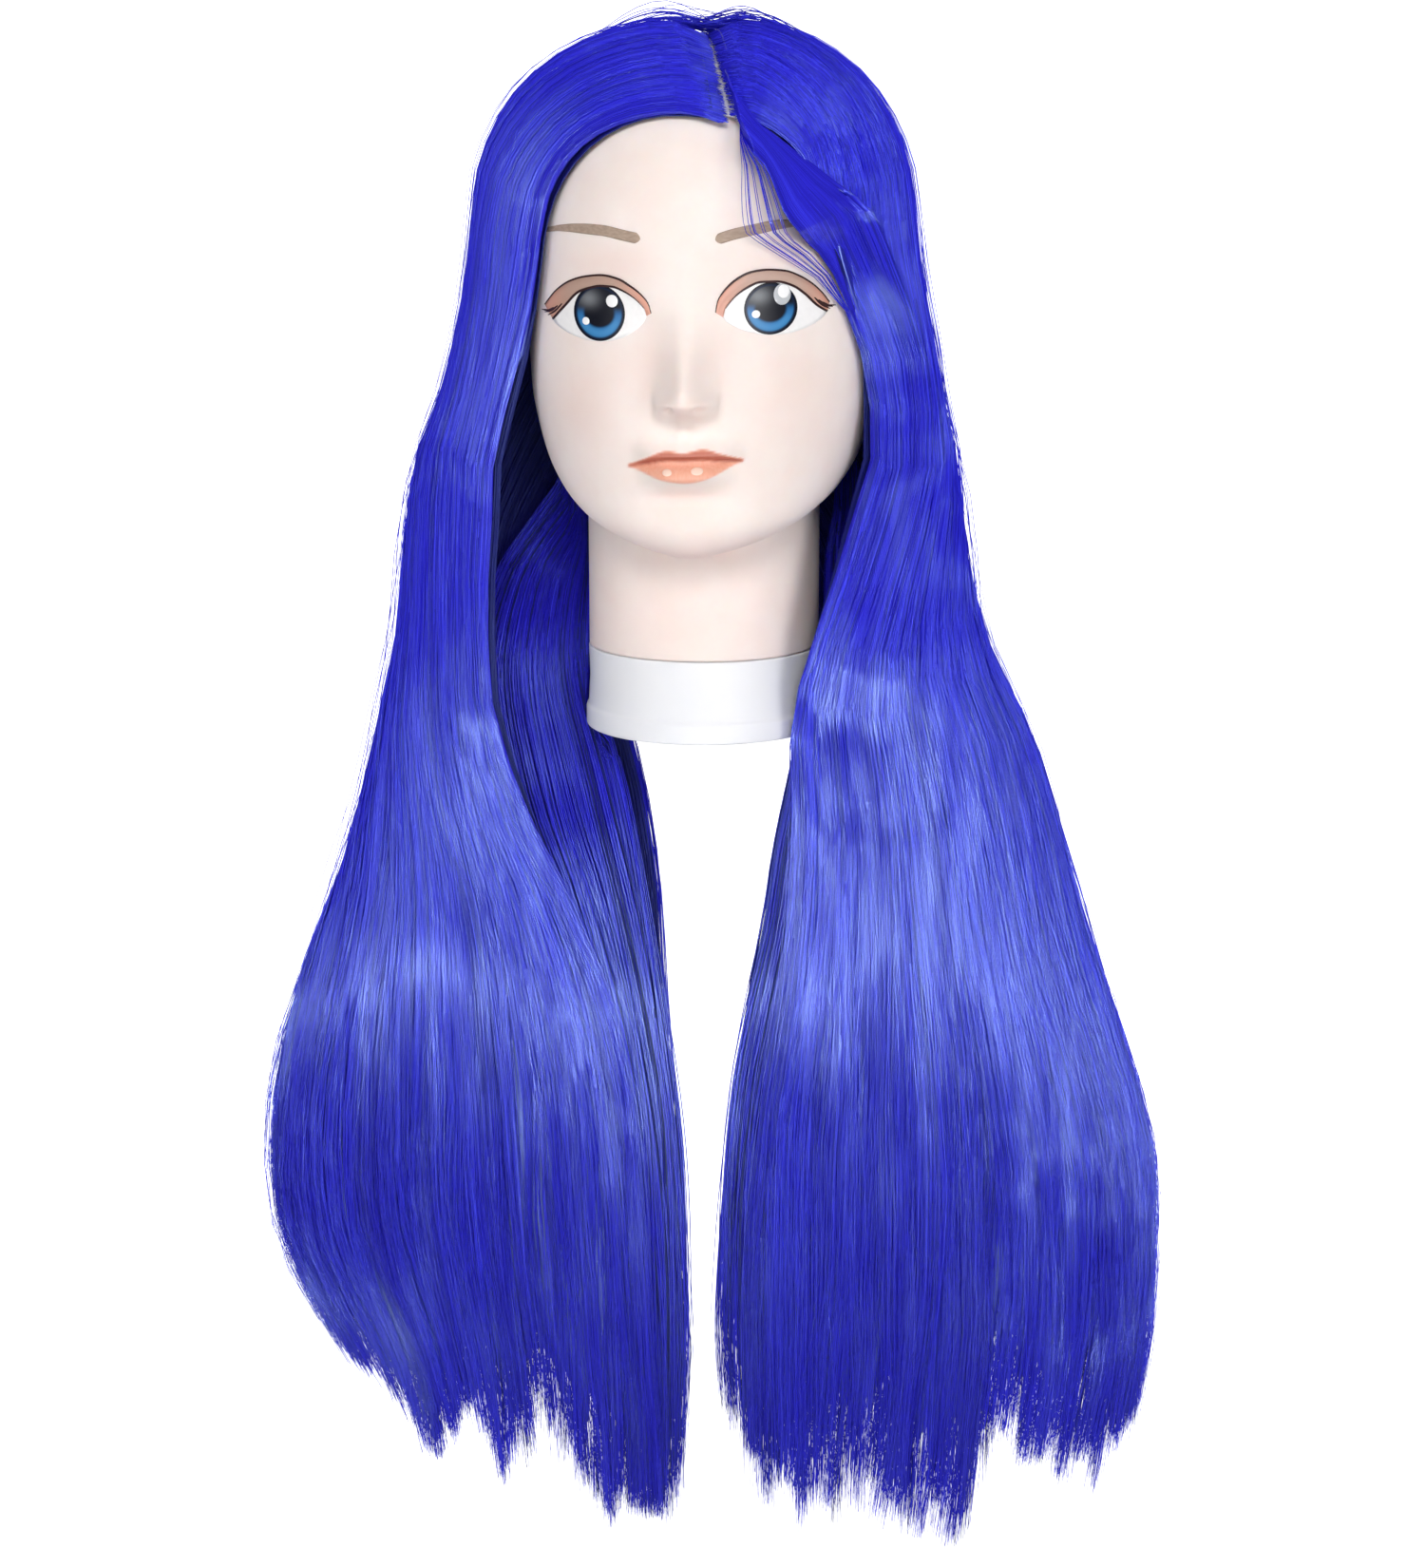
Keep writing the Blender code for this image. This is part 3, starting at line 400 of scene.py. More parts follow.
def lathe_obj(name, profile, seg, mats):
    """Closed body of revolution from an (r, z) outline in mm."""
    pr = np.array(profile, float)
    a = np.arange(seg) * TAU / seg
    co = np.stack([pr[:, None, 0] * np.cos(a), pr[:, None, 0] * np.sin(a),
                   np.broadcast_to(pr[:, None, 1], (len(pr), seg))], -1)
    f = quads(len(pr), seg, True)
    n = len(pr)
    j = np.arange(seg)
    k = (j + 1) % seg
    last = (n - 1) * seg
    f = np.concatenate([f, np.stack([last + j, last + k, k, j], -1)])
    ob = new_mesh(name, co, f, np.full(len(f), 4), mats)
    fix_normals(ob)
    return ob


def rounded(points, radius, steps=5):
    """Outline with each corner rounded; radius may be one number or a list."""
    pts = [np.array(p, float) for p in points]
    n = len(pts)
    rs = radius if isinstance(radius, (list, tuple)) else [radius] * n
    out = []
    for i in range(n):
        p, a, b = pts[i], pts[i - 1], pts[(i + 1) % n]
        r = rs[i]
        if r <= 0:
            out.append(tuple(p))
            continue
        da, db = a - p, b - p
        r = min(r, np.linalg.norm(da) * 0.45, np.linalg.norm(db) * 0.45)
        s, e = p + da / np.linalg.norm(da) * r, p + db / np.linalg.norm(db) * r
        for t in np.linspace(0, 1, steps):
            out.append(tuple((1 - t) ** 2 * s + 2 * t * (1 - t) * p + t * t * e))
    return out


# ------------------------------------------------------------------- materials
def principled(name, color=(0.8, 0.8, 0.8), rough=0.5, **more):
    m = bpy.data.materials.new(name)
    m.use_nodes = True
    nt = m.node_tree
    b = nt.nodes["Principled BSDF"]
    b.inputs["Base Color"].default_value = (*color, 1)
    b.inputs["Roughness"].default_value = rough
    m.diffuse_color = (*color, 1)
    for k, v in more.items():
        b.inputs[k.replace("_", " ")].default_value = v
    return m, nt, b


def ramp(nt, fac, stops):
    r = nt.nodes.new("ShaderNodeValToRGB")
    el = r.color_ramp.elements
    while len(el) < len(stops):
        el.new(0.5)
    for e, (p, c) in zip(el, stops):
        e.position = p
        e.color = (*c, 1) if len(c) == 3 else c
    nt.links.new(fac, r.inputs[0])
    return r.outputs[0]


def noise(nt, scale, detail=4.0, rough=0.5, coords=None, stretch=None):
    tc = nt.nodes.new("ShaderNodeTexCoord")
    src = tc.outputs["Object"]
    if stretch is not None:
        mp = nt.nodes.new("ShaderNodeMapping")
        mp.inputs["Scale"].default_value = stretch
        nt.links.new(src, mp.inputs[0])
        src = mp.outputs[0]
    n = nt.nodes.new("ShaderNodeTexNoise")
    n.inputs["Scale"].default_value = scale
    n.inputs["Detail"].default_value = detail
    n.inputs["Roughness"].default_value = rough
    nt.links.new(src, n.inputs["Vector"])
    return n.outputs["Fac"]


def mix(nt, fac, a, b):
    m = nt.nodes.new("ShaderNodeMix")
    m.data_type = "RGBA"
    for sock, v in ((m.inputs[0], fac), (m.inputs[6], a), (m.inputs[7], b)):
        if isinstance(v, bpy.types.NodeSocket):
            nt.links.new(v, sock)
        elif isinstance(v, (int, float)):
            sock.default_value = v
        else:
            sock.default_value = (*v, 1)
    return m.outputs[2]


def bump_node(nt, b, height, strength, distance):
    n = nt.nodes.new("ShaderNodeBump")
    n.inputs["Strength"].default_value = strength
    n.inputs["Distance"].default_value = distance
    nt.links.new(height, n.inputs["Height"])
    nt.links.new(n.outputs[0], b.inputs["Normal"])


def attr(nt, name):
    a = nt.nodes.new("ShaderNodeAttribute")
    a.attribute_name = name
    return a


def simple_surface(name, c0, c1, rough, scale, bump=0.1, dist=0.0002, r_var=0.08, **more):
    """Two-tone mottled surface with a fine bump."""
    m, nt, b = principled(name, c0, rough, **more)
    f = noise(nt, scale, 5.0)
    nt.links.new(ramp(nt, f, [(0.3, c0), (0.7, c1)]), b.inputs["Base Color"])
    g = noise(nt, scale * 6, 3.0)
    nt.links.new(ramp(nt, g, [(0.3, (rough - r_var,) * 3), (0.7, (rough + r_var,) * 3)]), b.inputs["Roughness"])
    if bump:
        bump_node(nt, b, g, bump, dist)
    return m


def skin_material():
    m, nt, b = principled("skin_vinyl_fine", (0.93, 0.80, 0.75), 0.62)
    b.inputs["Subsurface Weight"].default_value = 0.18
    b.inputs["Subsurface Radius"].default_value = (0.9, 0.45, 0.3)
    b.inputs["Subsurface Scale"].default_value = 0.006
    b.inputs["Specular IOR Level"].default_value = 0.10
    paint = attr(nt, "paint")
    sep = nt.nodes.new("ShaderNodeSeparateColor")
    nt.links.new(paint.outputs["Color"], sep.inputs[0])
    mottle = noise(nt, 45.0, 4.0)
    base = ramp(nt, mottle, [(0.35, SKIN_A), (0.65, SKIN_B)])
    # g mask: rosy cheek tint and painted shade, mixed into the skin colour
    cheek_and_shade_col = mix(nt, sep.outputs[1], base, SKIN_CHEEK_AND_SHADE)
    lip_n = noise(nt, 900.0, 3.0, stretch=(1.0, 1.0, 0.25))
    lip_c = ramp(nt, lip_n, [(0.3, LIP_A), (0.7, LIP_B)])
    lips = mix(nt, sep.outputs[0], cheek_and_shade_col, lip_c)
    dark = mix(nt, sep.outputs[2], lips, LIP_DARK)
    nt.links.new(dark, b.inputs["Base Color"])
    rr = mix(nt, sep.outputs[0], (0.62, 0.62, 0.62), (0.42, 0.42, 0.42))
    nt.links.new(rr, b.inputs["Roughness"])
    bump_node(nt, b, noise(nt, 1600.0, 4.0), 0.10, 0.0002)
    return m


SKIN_A, SKIN_B = (0.93, 0.80, 0.75), (0.96, 0.845, 0.80)
# rosy cheek tint, also laid on as painted shade round the nose, eyes, mouth, chin and neck
SKIN_CHEEK_AND_SHADE = (0.86, 0.62, 0.56)
LIP_A, LIP_B, LIP_DARK = (0.86, 0.40, 0.28), (0.90, 0.47, 0.34), (0.50, 0.13, 0.085)


# -------------------------------------------------------------------- the head
# painted features, in mm on the face: (x, z)
IRIS = {-1: (-36.8, 184.4, 11.3), 1: (33.2, 186.7, 10.4)}
LID_TOP = {-1: [(-62.6, 185.8), (-56.5, 192.4), (-49.9, 196.6), (-42.6, 198.8), (-35.6, 199.6),
                (-28.9, 198.5), (-23.2, 195.6), (-18.6, 192.3), (-15.4, 188.4), (-14.4, 185.0)],
           1: [(56.0, 188.1), (53.4, 191.9), (49.1, 196.2), (44.8, 199.1), (38.8, 201.6), (31.9, 202.2),
               (25.9, 201.5), (19.8, 198.6), (15.5, 194.7), (12.4, 189.9), (11.6, 185.6)]}
LID_LOW = {-1: [(-58.5, 180.3), (-52.7, 186.0), (-45.8, 192.4), (-40.7, 194.3), (-35.7, 195.3),
                (-30.9, 195.2), (-26.1, 193.7), (-21.4, 191.0), (-17.2, 187.0), (-16.3, 184.0)],
           1: [(55.2, 184.4), (51.3, 187.1), (46.6, 191.9), (41.3, 195.7), (35.3, 197.4), (29.3, 197.4),
               (24.1, 195.4), (18.9, 191.5), (15.5, 187.2), (14.6, 183.7)]}
BROW = {-1: [(-62.5, 216.3), (-54.0, 217.6), (-47.4, 217.9), (-35.4, 217.5), (-25.8, 215.8), (-18.8, 214.5)],
        1: [(52.0, 219.6), (43.0, 220.4), (36.1, 220.0), (27.6, 218.4), (19.0, 216.6), (11.6, 214.3)]}
LIP_UP = [(-24.1, 123.8), (-16.4, 127.3), (-7.2, 130.9), (-0.6, 129.5), (6.5, 131.7), (14.7, 129.3), (22.6, 126.6)]
LIP_MID = [(-24.1, 123.5), (-16.6, 125.2), (-7.1, 127.4), (-0.9, 126.9), (6.8, 127.9), (13.7, 126.6), (22.6, 126.2)]
LIP_LOW = [(-24.1, 123.2), (-19.9, 122.0), (-12.0, 119.2), (-5.7, 117.8), (-0.5, 117.3), (5.8, 118.3),
           (12.8, 121.0), (17.6, 123.6), (22.6, 126.0)]


def soft_line(x, rows):
    return sum(curve(x + d, rows) for d in (-3.2, -1.6, 0.0, 1.6, 3.2)) / 5.0


def front_y(x, z, offset=0.0):
    """Front surface of the face at (x, z)."""
    x, z = np.broadcast_arrays(np.asarray(x, float), np.asarray(z, float))
    lo = np.full(x.shape, -20.0)
    hi = np.full(x.shape, -125.0)
    ys = np.linspace(-125, -20, 106)
    v = head_f(x[..., None], ys, z[..., None]) - offset
    first = np.argmax(v < 0, axis=-1)
    first = np.where((v < 0).any(-1), first, len(ys) - 1)
    lo = ys[first]
    hi = ys[np.maximum(first - 1, 0)]
    for _ in range(18):
        mid = 0.5 * (lo + hi)
        neg = head_f(x, mid, z) - offset < 0
        lo = np.where(neg, mid, lo)
        hi = np.where(neg, hi, mid)
    return 0.5 * (lo + hi)


def detail(x, y, z):
    """Fine relief on top of the shared head shape, mm outwards."""
    zf = z - FEATURE_TILT * x
    front = smooth(-40, -60, y)
    ax = np.abs(x)
    d = -3.0 * bump(ax, 6.6, 2.3) * bump(zf, 147.2, 1.5) * front              # nostrils
    d += 0.9 * bump(ax, 11.6, 2.0) * bump(zf, 149.5, 4.5) * front             # wing edge
    d -= 0.9 * bump(ax, 14.6, 1.8) * bump(zf, 148.0, 5.0) * front
    d += 0.5 * bump(ax, 3.0, 1.6) * bump(zf, 137, 5) * front                  # lip groove ridges
    low = soft_line(x, LIP_MID)
    inl = smooth(23, 20, ax) * front
    d -= 0.9 * np.exp(-((z - low + 0.5) / 0.9) ** 2) * inl                    # mouth line
    up = soft_line(x, LIP_UP)
    d += 0.45 * np.exp(-((z - up) / 1.0) ** 2) * inl
    d += 0.5 * np.exp(-((z - curve(x, LIP_LOW) - 1.0) / 1.2) ** 2) * inl
    for s in (-1, 1):                                                         # moulded lid fold
        xs = sorted(LID_TOP[s])
        top = curve(x, xs)
        ok = smooth(xs[0][0] - 2, xs[0][0] + 3, x) * smooth(xs[-1][0] + 2, xs[-1][0] - 3, x) * front
        d -= 0.35 * np.exp(-((z - top - 0.3) / 0.9) ** 2) * ok
        d += 0.45 * np.exp(-((z - top + 2.4) / 1.8) ** 2) * ok
    # ear shell
    er = smooth(66, 71, ax) * smooth(-8, 2, y) * smooth(34, 24, y)
    rr = np.sqrt(((y - 13) / 10.0) ** 2 + ((z - 166) / 19.0) ** 2)
    d -= 2.2 * smooth(1.0, 0.55, rr) * er
    return d


def build_head():
    az = np.arange(360) * TAU / 360
    az = az - 0.62 * np.sin(az)
    neck = [(z, -35.0) for z in np.linspace(71.4, 108.0, 34)]
    t = np.linspace(0, 1, 260)
    face = list(zip(110.0 + 80.0 * t, -33.0 + 66.0 * t))
    crown = [(190.0, e) for e in np.linspace(34.5, 87.0, 46)]
    elev = neck + face + crown
    org, dirs = [], []
    for oz, e in elev:
        oy = 6.0 * float(smooth(75, 130, oz))
        ce, se = math.cos(math.radians(e)), math.sin(math.radians(e))
        org.append(np.stack([np.zeros_like(az), np.full_like(az, oy), np.full_like(az, oz)], -1))
        dirs.append(np.stack([ce * np.sin(az), -ce * np.cos(az), np.full_like(az, se)], -1))
    org, dirs = np.array(org).reshape(-1, 3), np.array(dirs).reshape(-1, 3)
    pts = np.concatenate([cast_fast(org[i:i + 20000], dirs[i:i + 20000]) for i in range(0, len(org), 20000)])
    e = 0.4
    f = lambda q: head_f(q[:, 0], q[:, 1], q[:, 2])
    g = np.stack([f(pts + np.array([e, 0, 0])) - f(pts - np.array([e, 0, 0])),
                  f(pts + np.array([0, e, 0])) - f(pts - np.array([0, e, 0])),
                  f(pts + np.array([0, 0, e])) - f(pts - np.array([0, 0, e]))], -1)
    g /= np.maximum(np.linalg.norm(g, axis=1, keepdims=True), 1e-9)
    pts = pts + g * detail(pts[:, 0], pts[:, 1], pts[:, 2])[:, None]
    R, Cn = len(elev), len(az)
    grid = pts.reshape(R, Cn, 3)
    grid[0, :, 2] = SKIN_BOTTOM + 0.1
    # neck opening: short inward return of the wall, then a flat rim
    wall = np.repeat(grid[:1], 3, axis=0).copy()
    for i, (dr, dz) in enumerate(((1.0, -0.0), (2.9, 0.0), (3.0, 8.0))):
        r = np.hypot(wall[i, :, 0], wall[i, :, 1])
        k = (r - dr) / r
        wall[i, :, 0] *= k
        wall[i, :, 1] *= k
        wall[i, :, 2] += dz
    grid = np.concatenate([wall[::-1], grid])
    R = len(grid)
    n = R * Cn
    top = grid[-1].mean(0) + np.array([0, 0, 0.15])
    deck = np.array([0.0, 0.0, SKIN_BOTTOM + 8.1])
    co = np.concatenate([grid.reshape(-1, 3), [top], [deck]])
    q = quads(R, Cn, True)
    j = np.arange(Cn)
    k = (j + 1) % Cn
    t1 = np.stack([(R - 1) * Cn + j, (R - 1) * Cn + k, np.full(Cn, n)], -1)
    t0 = np.stack([k, j, np.full(Cn, n + 1)], -1)
    loops = np.concatenate([q.ravel(), t1.ravel(), t0.ravel()])
    sizes = np.concatenate([np.full(len(q), 4), np.full(2 * Cn, 3)])
    ob = new_mesh("head_vinyl", co, loops, sizes, [skin_material()])
    fix_normals(ob)
    # paint masks: r lips, g rosy cheek tint plus painted shade under and beside the nose, above the eyes, under the
    # lower lip, under the chin and down the neck, b dark upper-lip line
    x, y, z = co[:, 0], co[:, 1], co[:, 2]
    zf = z - FEATURE_TILT * x
    front = smooth(-40, -60, y)
    up, mid, low = soft_line(x, LIP_UP), soft_line(x, LIP_MID), soft_line(x, LIP_LOW)
    inside = smooth(24.3, 22.8, np.abs(x + 0.7)) * front
    lip = smooth(low - 0.5, low + 0.5, z) * smooth(up + 0.45, up - 0.35, z) * inside
    dark = smooth(mid - 1.5, mid - 0.3, z) * smooth(up + 0.3, up - 0.9, z) * inside
    cheek_and_shade = 0.30 * bump(np.abs(x), 44, 17) * bump(zf, 150, 20)
    # the terms from here on are painted shade: above the eyes, under and beside the nose, under the lower lip, under
    # the chin and down the neck
    cheek_and_shade += 0.30 * bump(np.abs(x), 34, 20) * bump(zf, 205, 7)
    cheek_and_shade += 0.40 * bump(x, 0, 10) * bump(zf, 147, 5) + 0.25 * bump(np.abs(x), 15, 6) * bump(zf, 166, 18)
    cheek_and_shade += 0.45 * bump(zf, 111, 5) * bump(x, 0, 16)
    cheek_and_shade += 0.5 * np.exp(-((z - 84) / 8) ** 2) + 0.18 * smooth(86, 60, z)
    paint = np.stack([lip, np.clip(cheek_and_shade * np.maximum(front, smooth(86, 60, z)), 0, 1), dark * 0.85, np.ones_like(x)], -1)
    ca = ob.data.color_attributes.new("paint", "FLOAT_COLOR", "POINT")
    ca.data.foreach_set("color", paint.astype(np.float32).ravel())
    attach(ob, "head")
    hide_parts("head_skin")
    return ob


def cast_fast(org, dirs):
    ts = np.linspace(150.0, 36.0, 77)
    best = np.full(len(org), ts[-1])
    found = np.zeros(len(org), bool)
    prev = ts[0]
    hi = np.full(len(org), ts[0])
    for t in ts:
        q = org + dirs * t
        neg = (head_f(q[:, 0], q[:, 1], q[:, 2]) < 0) & ~found
        best[neg] = t
        hi[neg] = prev
        found |= neg
        prev = t
    lo = best
    for _ in range(14):
        mid = 0.5 * (lo + hi)
        q = org + dirs * mid[:, None]
        neg = head_f(q[:, 0], q[:, 1], q[:, 2]) < 0
        lo = np.where(neg, mid, lo)
        hi = np.where(neg, hi, mid)
    return org + dirs * lo[:, None]


def lift(x, z, off):
    """Point off mm in front of the face, along its normal."""
    x, z = np.broadcast_arrays(np.asarray(x, float), np.asarray(z, float))
    y = front_y(x, z)
    p = np.stack([x, y, z], -1)
    e = 0.6
    f = lambda a, b, c: head_f(a, b, c)
    g = np.stack([f(x + e, y, z) - f(x - e, y, z), f(x, y + e, z) - f(x, y - e, z),
                  f(x, y, z + e) - f(x, y, z - e)], -1)
    g /= np.maximum(np.linalg.norm(g, axis=-1, keepdims=True), 1e-9)
    d = detail(x, y, z)
    return p + g * (d + off)[..., None]


def decal_disc(name, outline, off, mats, rings=10, centre=None, under=-0.35):
    """Thin closed paint film inside a star-shaped outline of (x, z) points."""
    o = np.array(outline, float)
    c = o.mean(0) if centre is None else np.array(centre, float)
    k = np.linspace(0, 1, rings + 1)[1:]
    pts = c + (o - c)[None] * k[:, None, None]
    topc = lift(c[0], c[1], off)
    top = lift(pts[..., 0], pts[..., 1], np.full(pts.shape[:2], off))
    bot = lift(pts[..., 0], pts[..., 1], np.full(pts.shape[:2], under))
    botc = lift(c[0], c[1], under)
    n = len(o)
    co = np.concatenate([top.reshape(-1, 3), bot.reshape(-1, 3), [topc], [botc]])
    m = rings * n
    j = np.arange(n)
    q = np.concatenate([quads(rings, n, True), quads(rings, n, True, m)[:, ::-1],
                        np.stack([(rings - 1) * n + j, (rings - 1) * n + (j + 1) % n,
                                  m + (rings - 1) * n + (j + 1) % n, m + (rings - 1) * n + j], -1)])
    t = np.concatenate([np.stack([j, (j + 1) % n, np.full(n, 2 * m)], -1),
                        np.stack([m + (j + 1) % n, m + j, np.full(n, 2 * m + 1)], -1)])
    ob = new_mesh(name, co, np.concatenate([q.ravel(), t.ravel()]),
                  np.concatenate([np.full(len(q), 4), np.full(len(t), 3)]), mats)
    fix_normals(ob)
    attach(ob, "head")
    return ob


def resample(pts, n):
    p = np.array(pts, float)
    s = np.concatenate([[0], np.cumsum(np.linalg.norm(np.diff(p, axis=0), axis=1))])
    t = np.linspace(0, s[-1], n)
    rows = list(zip(s, p[:, 0], p[:, 1]))
    return np.stack([curve(t, rows, 1), curve(t, rows, 2)], -1)


def decal_band(name, a, b, off, mats, cross=5, n=60, under=-0.35):
    """Thin closed paint film between two lines of (x, z) points."""
    a, b = resample(a, n), resample(b, n)
    k = np.linspace(0, 1, cross)[:, None, None]
    g = a[None] * (1 - k) + b[None] * k
    top = lift(g[..., 0], g[..., 1], np.full(g.shape[:2], off))
    bot = lift(g[..., 0], g[..., 1], np.full(g.shape[:2], under))
    ob = slab_obj(name, bot, top, mats)
    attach(ob, "head")
    return ob


def stroke(name, line, width, off, mats, taper=(0.3, 0.3), n=40, cross=4):
    """Painted line: width in mm, thinner at its ends."""
    p = resample(line, n)
    d = np.gradient(p, axis=0)
    d /= np.maximum(np.linalg.norm(d, axis=1, keepdims=True), 1e-9)
    nrm = np.stack([-d[:, 1], d[:, 0]], -1)
    t = np.linspace(0, 1, n)
    w = width * 0.5 * (taper[0] + (1 - taper[0]) * smooth(0, 0.3, t)) * (taper[1] + (1 - taper[1]) * smooth(1, 0.7, t))
    return decal_band(name, p + nrm * w[:, None], p - nrm * w[:, None], off, mats, cross, n)


def circle(cx, cz, r, n=48, sx=1.0, sz=1.0):
    a = np.arange(n) * TAU / n
    return np.stack([cx + r * sx * np.cos(a), cz + r * sz * np.sin(a)], -1)


def paint_mat(name, c, rough=0.3, var=0.04, scale=400.0):
    c1 = tuple(min(1.0, v * (1 + var) + var * 0.1) for v in c)
    m, nt, b = principled(name, c, rough)
    b.inputs["Specular IOR Level"].default_value = 0.15
    nt.links.new(ramp(nt, noise(nt, scale, 3.0), [(0.3, c), (0.7, c1)]), b.inputs["Base Color"])
    return m


def iris_material(name, cx, cz, r):
    """Painted iris: black top, blue crescent below, dark rim."""
    m, nt, b = principled(name, (0.02, 0.02, 0.03), 0.3)
    b.inputs["Specular IOR Level"].default_value = 0.15
    at = attr(nt, "paint")
    nt.links.new(at.outputs["Color"], b.inputs["Base Color"])
    return m


def paint_iris(ob, cx, cz, r, grey_side):
    """Vertex colours of the iris from its own small formula."""
    me = ob.data
    co = np.empty(len(me.vertices) * 3, np.float32)
    me.vertices.foreach_get("co", co)
    co = co.reshape(-1, 3) / MM
    dx, dz = (co[:, 0] - cx) / (r * 1.0), (co[:, 2] - cz) / r
    rho = np.hypot(dx, dz)
    black = np.array([0.004, 0.005, 0.012])
    navy = np.array([0.006, 0.016, 0.05])
    blue = np.array([0.025, 0.16, 0.42])
    light = np.array([0.07, 0.30, 0.60])
    col = np.tile(black, (len(dx), 1))

    def over(col, c, k):
        return col + (c - col) * k[:, None]
    low = smooth(0.10, -0.22, dz + 0.38 * (1 - dx * dx) * 0 )
    pupil = np.hypot(dx / 0.62, (dz + 0.02) / 0.52)
    cres = smooth(0.86, 1.10, pupil) * smooth(0.25, -0.12, dz)
    col = over(col, blue, cres)
    col = over(col, light, cres * bump(rho, 0.72, 0.16) * smooth(0.0, -0.45, dz) * 0.75)
    # painted sheen: a soft grey patch on the upper side of the black iris stands in for its gloss
    grey = np.array([0.22, 0.23, 0.25])
    gx = grey_side * 0.42
    col = over(col, grey, 0.9 * np.exp(-(((dx - gx) / 0.40) ** 2 + ((dz - 0.50) / 0.30) ** 2)))
    col = over(col, navy, smooth(0.84, 0.90, rho))
    col = over(col, black, smooth(0.90, 0.95, rho))
    rgba = np.concatenate([col, np.ones((len(col), 1))], 1).astype(np.float32)
    ca = me.color_attributes.new("paint", "FLOAT_COLOR", "POINT")
    ca.data.foreach_set("color", rgba.ravel())


def build_face_paint():
    white = paint_mat("paint_eye_white", (0.93, 0.91, 0.91), 0.25)
    dark = paint_mat("paint_line_dark", (0.035, 0.012, 0.012), 0.35)
    shine = paint_mat("paint_shine", (0.95, 0.95, 0.95), 0.1)
    # painted highlight: two light spots on the lower lip stand in for its gloss
    lip_shine = paint_mat("paint_lip_shine", (0.93, 0.68, 0.56), 0.3)
    decal_disc("lip_shine_1", circle(-7.4, 121.9, 1.7, 28, 1.15, 0.8), 0.12, [lip_shine], 4)
    decal_disc("lip_shine_2", circle(4.8, 122.6, 1.9, 28, 1.3, 0.8), 0.12, [lip_shine], 4)
    soft = paint_mat("paint_shine_soft", (0.55, 0.57, 0.60), 0.1)
    brow_m, nt, b = principled("paint_brow", (0.42, 0.28, 0.21), 0.7)
    b.inputs["Specular IOR Level"].default_value = 0.1
    f = noise(nt, 700.0, 4.0, stretch=(0.35, 1, 1.6))
    nt.links.new(ramp(nt, f, [(0.3, (0.37, 0.27, 0.21)), (0.7, (0.48, 0.36, 0.28))]), b.inputs["Base Color"])
    lid_m, nt, b = principled("paint_lid", (0.42, 0.22, 0.17), 0.6)
    at = attr(nt, "paint")
    f = noise(nt, 500.0, 3.0)
    col = mix(nt, f, at.outputs["Color"], at.outputs["Color"])
    nt.links.new(col, b.inputs["Base Color"])
    for s, word in ((-1, "left_eye"), (1, "right_eye")):
        cx, cz, r = IRIS[s]
        low = LID_LOW[s]
        if low[0][0] > low[-1][0]:
            low = low[::-1]
        up = resample(low, 36)
        # lower edge of the white: shallow arc under the iris
        t = np.linspace(0, 1, 36)[1:-1]
        x0, z0 = up[-1]
        x1, z1 = up[0]
        zb = cz - r - 0.2
        xs = x0 + (x1 - x0) * t
        base = z0 + (z1 - z0) * t
        arch = np.sin(np.pi * t) ** 0.62
        lowz = base * (1 - arch) + zb * arch
        outline = np.concatenate([up, np.stack([xs, lowz], -1)])
        decal_disc(word + "_white", outline, 0.10, [white], rings=12, centre=(cx, cz + 2.0))
        # iris disc, slightly clipped by the lid
        n = 72
        ring = circle(cx, cz, r, n)
        lid_z = curve(ring[:, 0], sorted(LID_LOW[s]))
        ring[:, 1] = np.minimum(ring[:, 1], np.where(ring[:, 1] > cz, lid_z - 0.1, 1e9))
        ob = decal_disc(word + "_iris", ring, 0.22, [iris_material(word + "_iris_paint", cx, cz, r)], rings=30,
                        centre=(cx, cz - 0.5))
        paint_iris(ob, cx, cz, r, -1)
        # lid band and its outlines
        top, lw = LID_TOP[s], LID_LOW[s]
        ob = decal_band(word + "_lid", top, lw, 0.26, [lid_m], cross=7, n=90)
        me = ob.data
        co = np.empty(len(me.vertices) * 3, np.float32)
        me.vertices.foreach_get("co", co)
        x = co.reshape(-1, 3)[:, 0] / MM
        xo, xi = top[0][0], top[-1][0]
        t = (x - xo) / (xi - xo)
        brown = np.array([0.45, 0.28, 0.215])
        salmon = np.array([0.66, 0.29, 0.20])
        k = np.maximum(smooth(0.62, 1.0, t), 0.75 * smooth(0.30, 0.0, t))
        colr = brown + (salmon - brown) * k[:, None]
        ca = me.color_attributes.new("paint", "FLOAT_COLOR", "POINT")
        ca.data.foreach_set("color", np.concatenate([colr, np.ones((len(x), 1))], 1).astype(np.float32).ravel())
        stroke(word + "_line_top", top, 0.75, 0.36, [dark], (0.7, 0.25))
        stroke(word + "_line_low", lw[:-1], 0.9, 0.36, [dark], (0.9, 0.2))
        # lash ticks at the outer corner
        ox, oz = top[0]
        lx, lz = lw[0]
        for k, (a, b2) in enumerate((((0.0, -0.6), (0.06, 0.0)), ((0.16, -0.2), (0.10, 0.25)), ((0.34, 0.1), (0.30, 0.4)))):
            pa = (ox + (lx - ox) * (a[0] + 0.25) + s * (2.6 - 2.0 * k * 0.5), oz + (lz - oz) * (a[0] + 0.45) + 0.2)
            pb = (ox + (lx - ox) * (a[0] + 0.55) - s * (2.4 + 1.4 * k), oz + (lz - oz) * 0.55 + 2.2 + 1.0 * k)
            stroke(word + "_lash_%d" % (k + 1), [pa, ((pa[0] + pb[0]) / 2, (pa[1] + pb[1]) / 2 - 0.7), pb],
                   0.7, 0.42, [dark], (0.3, 0.6), n=14)
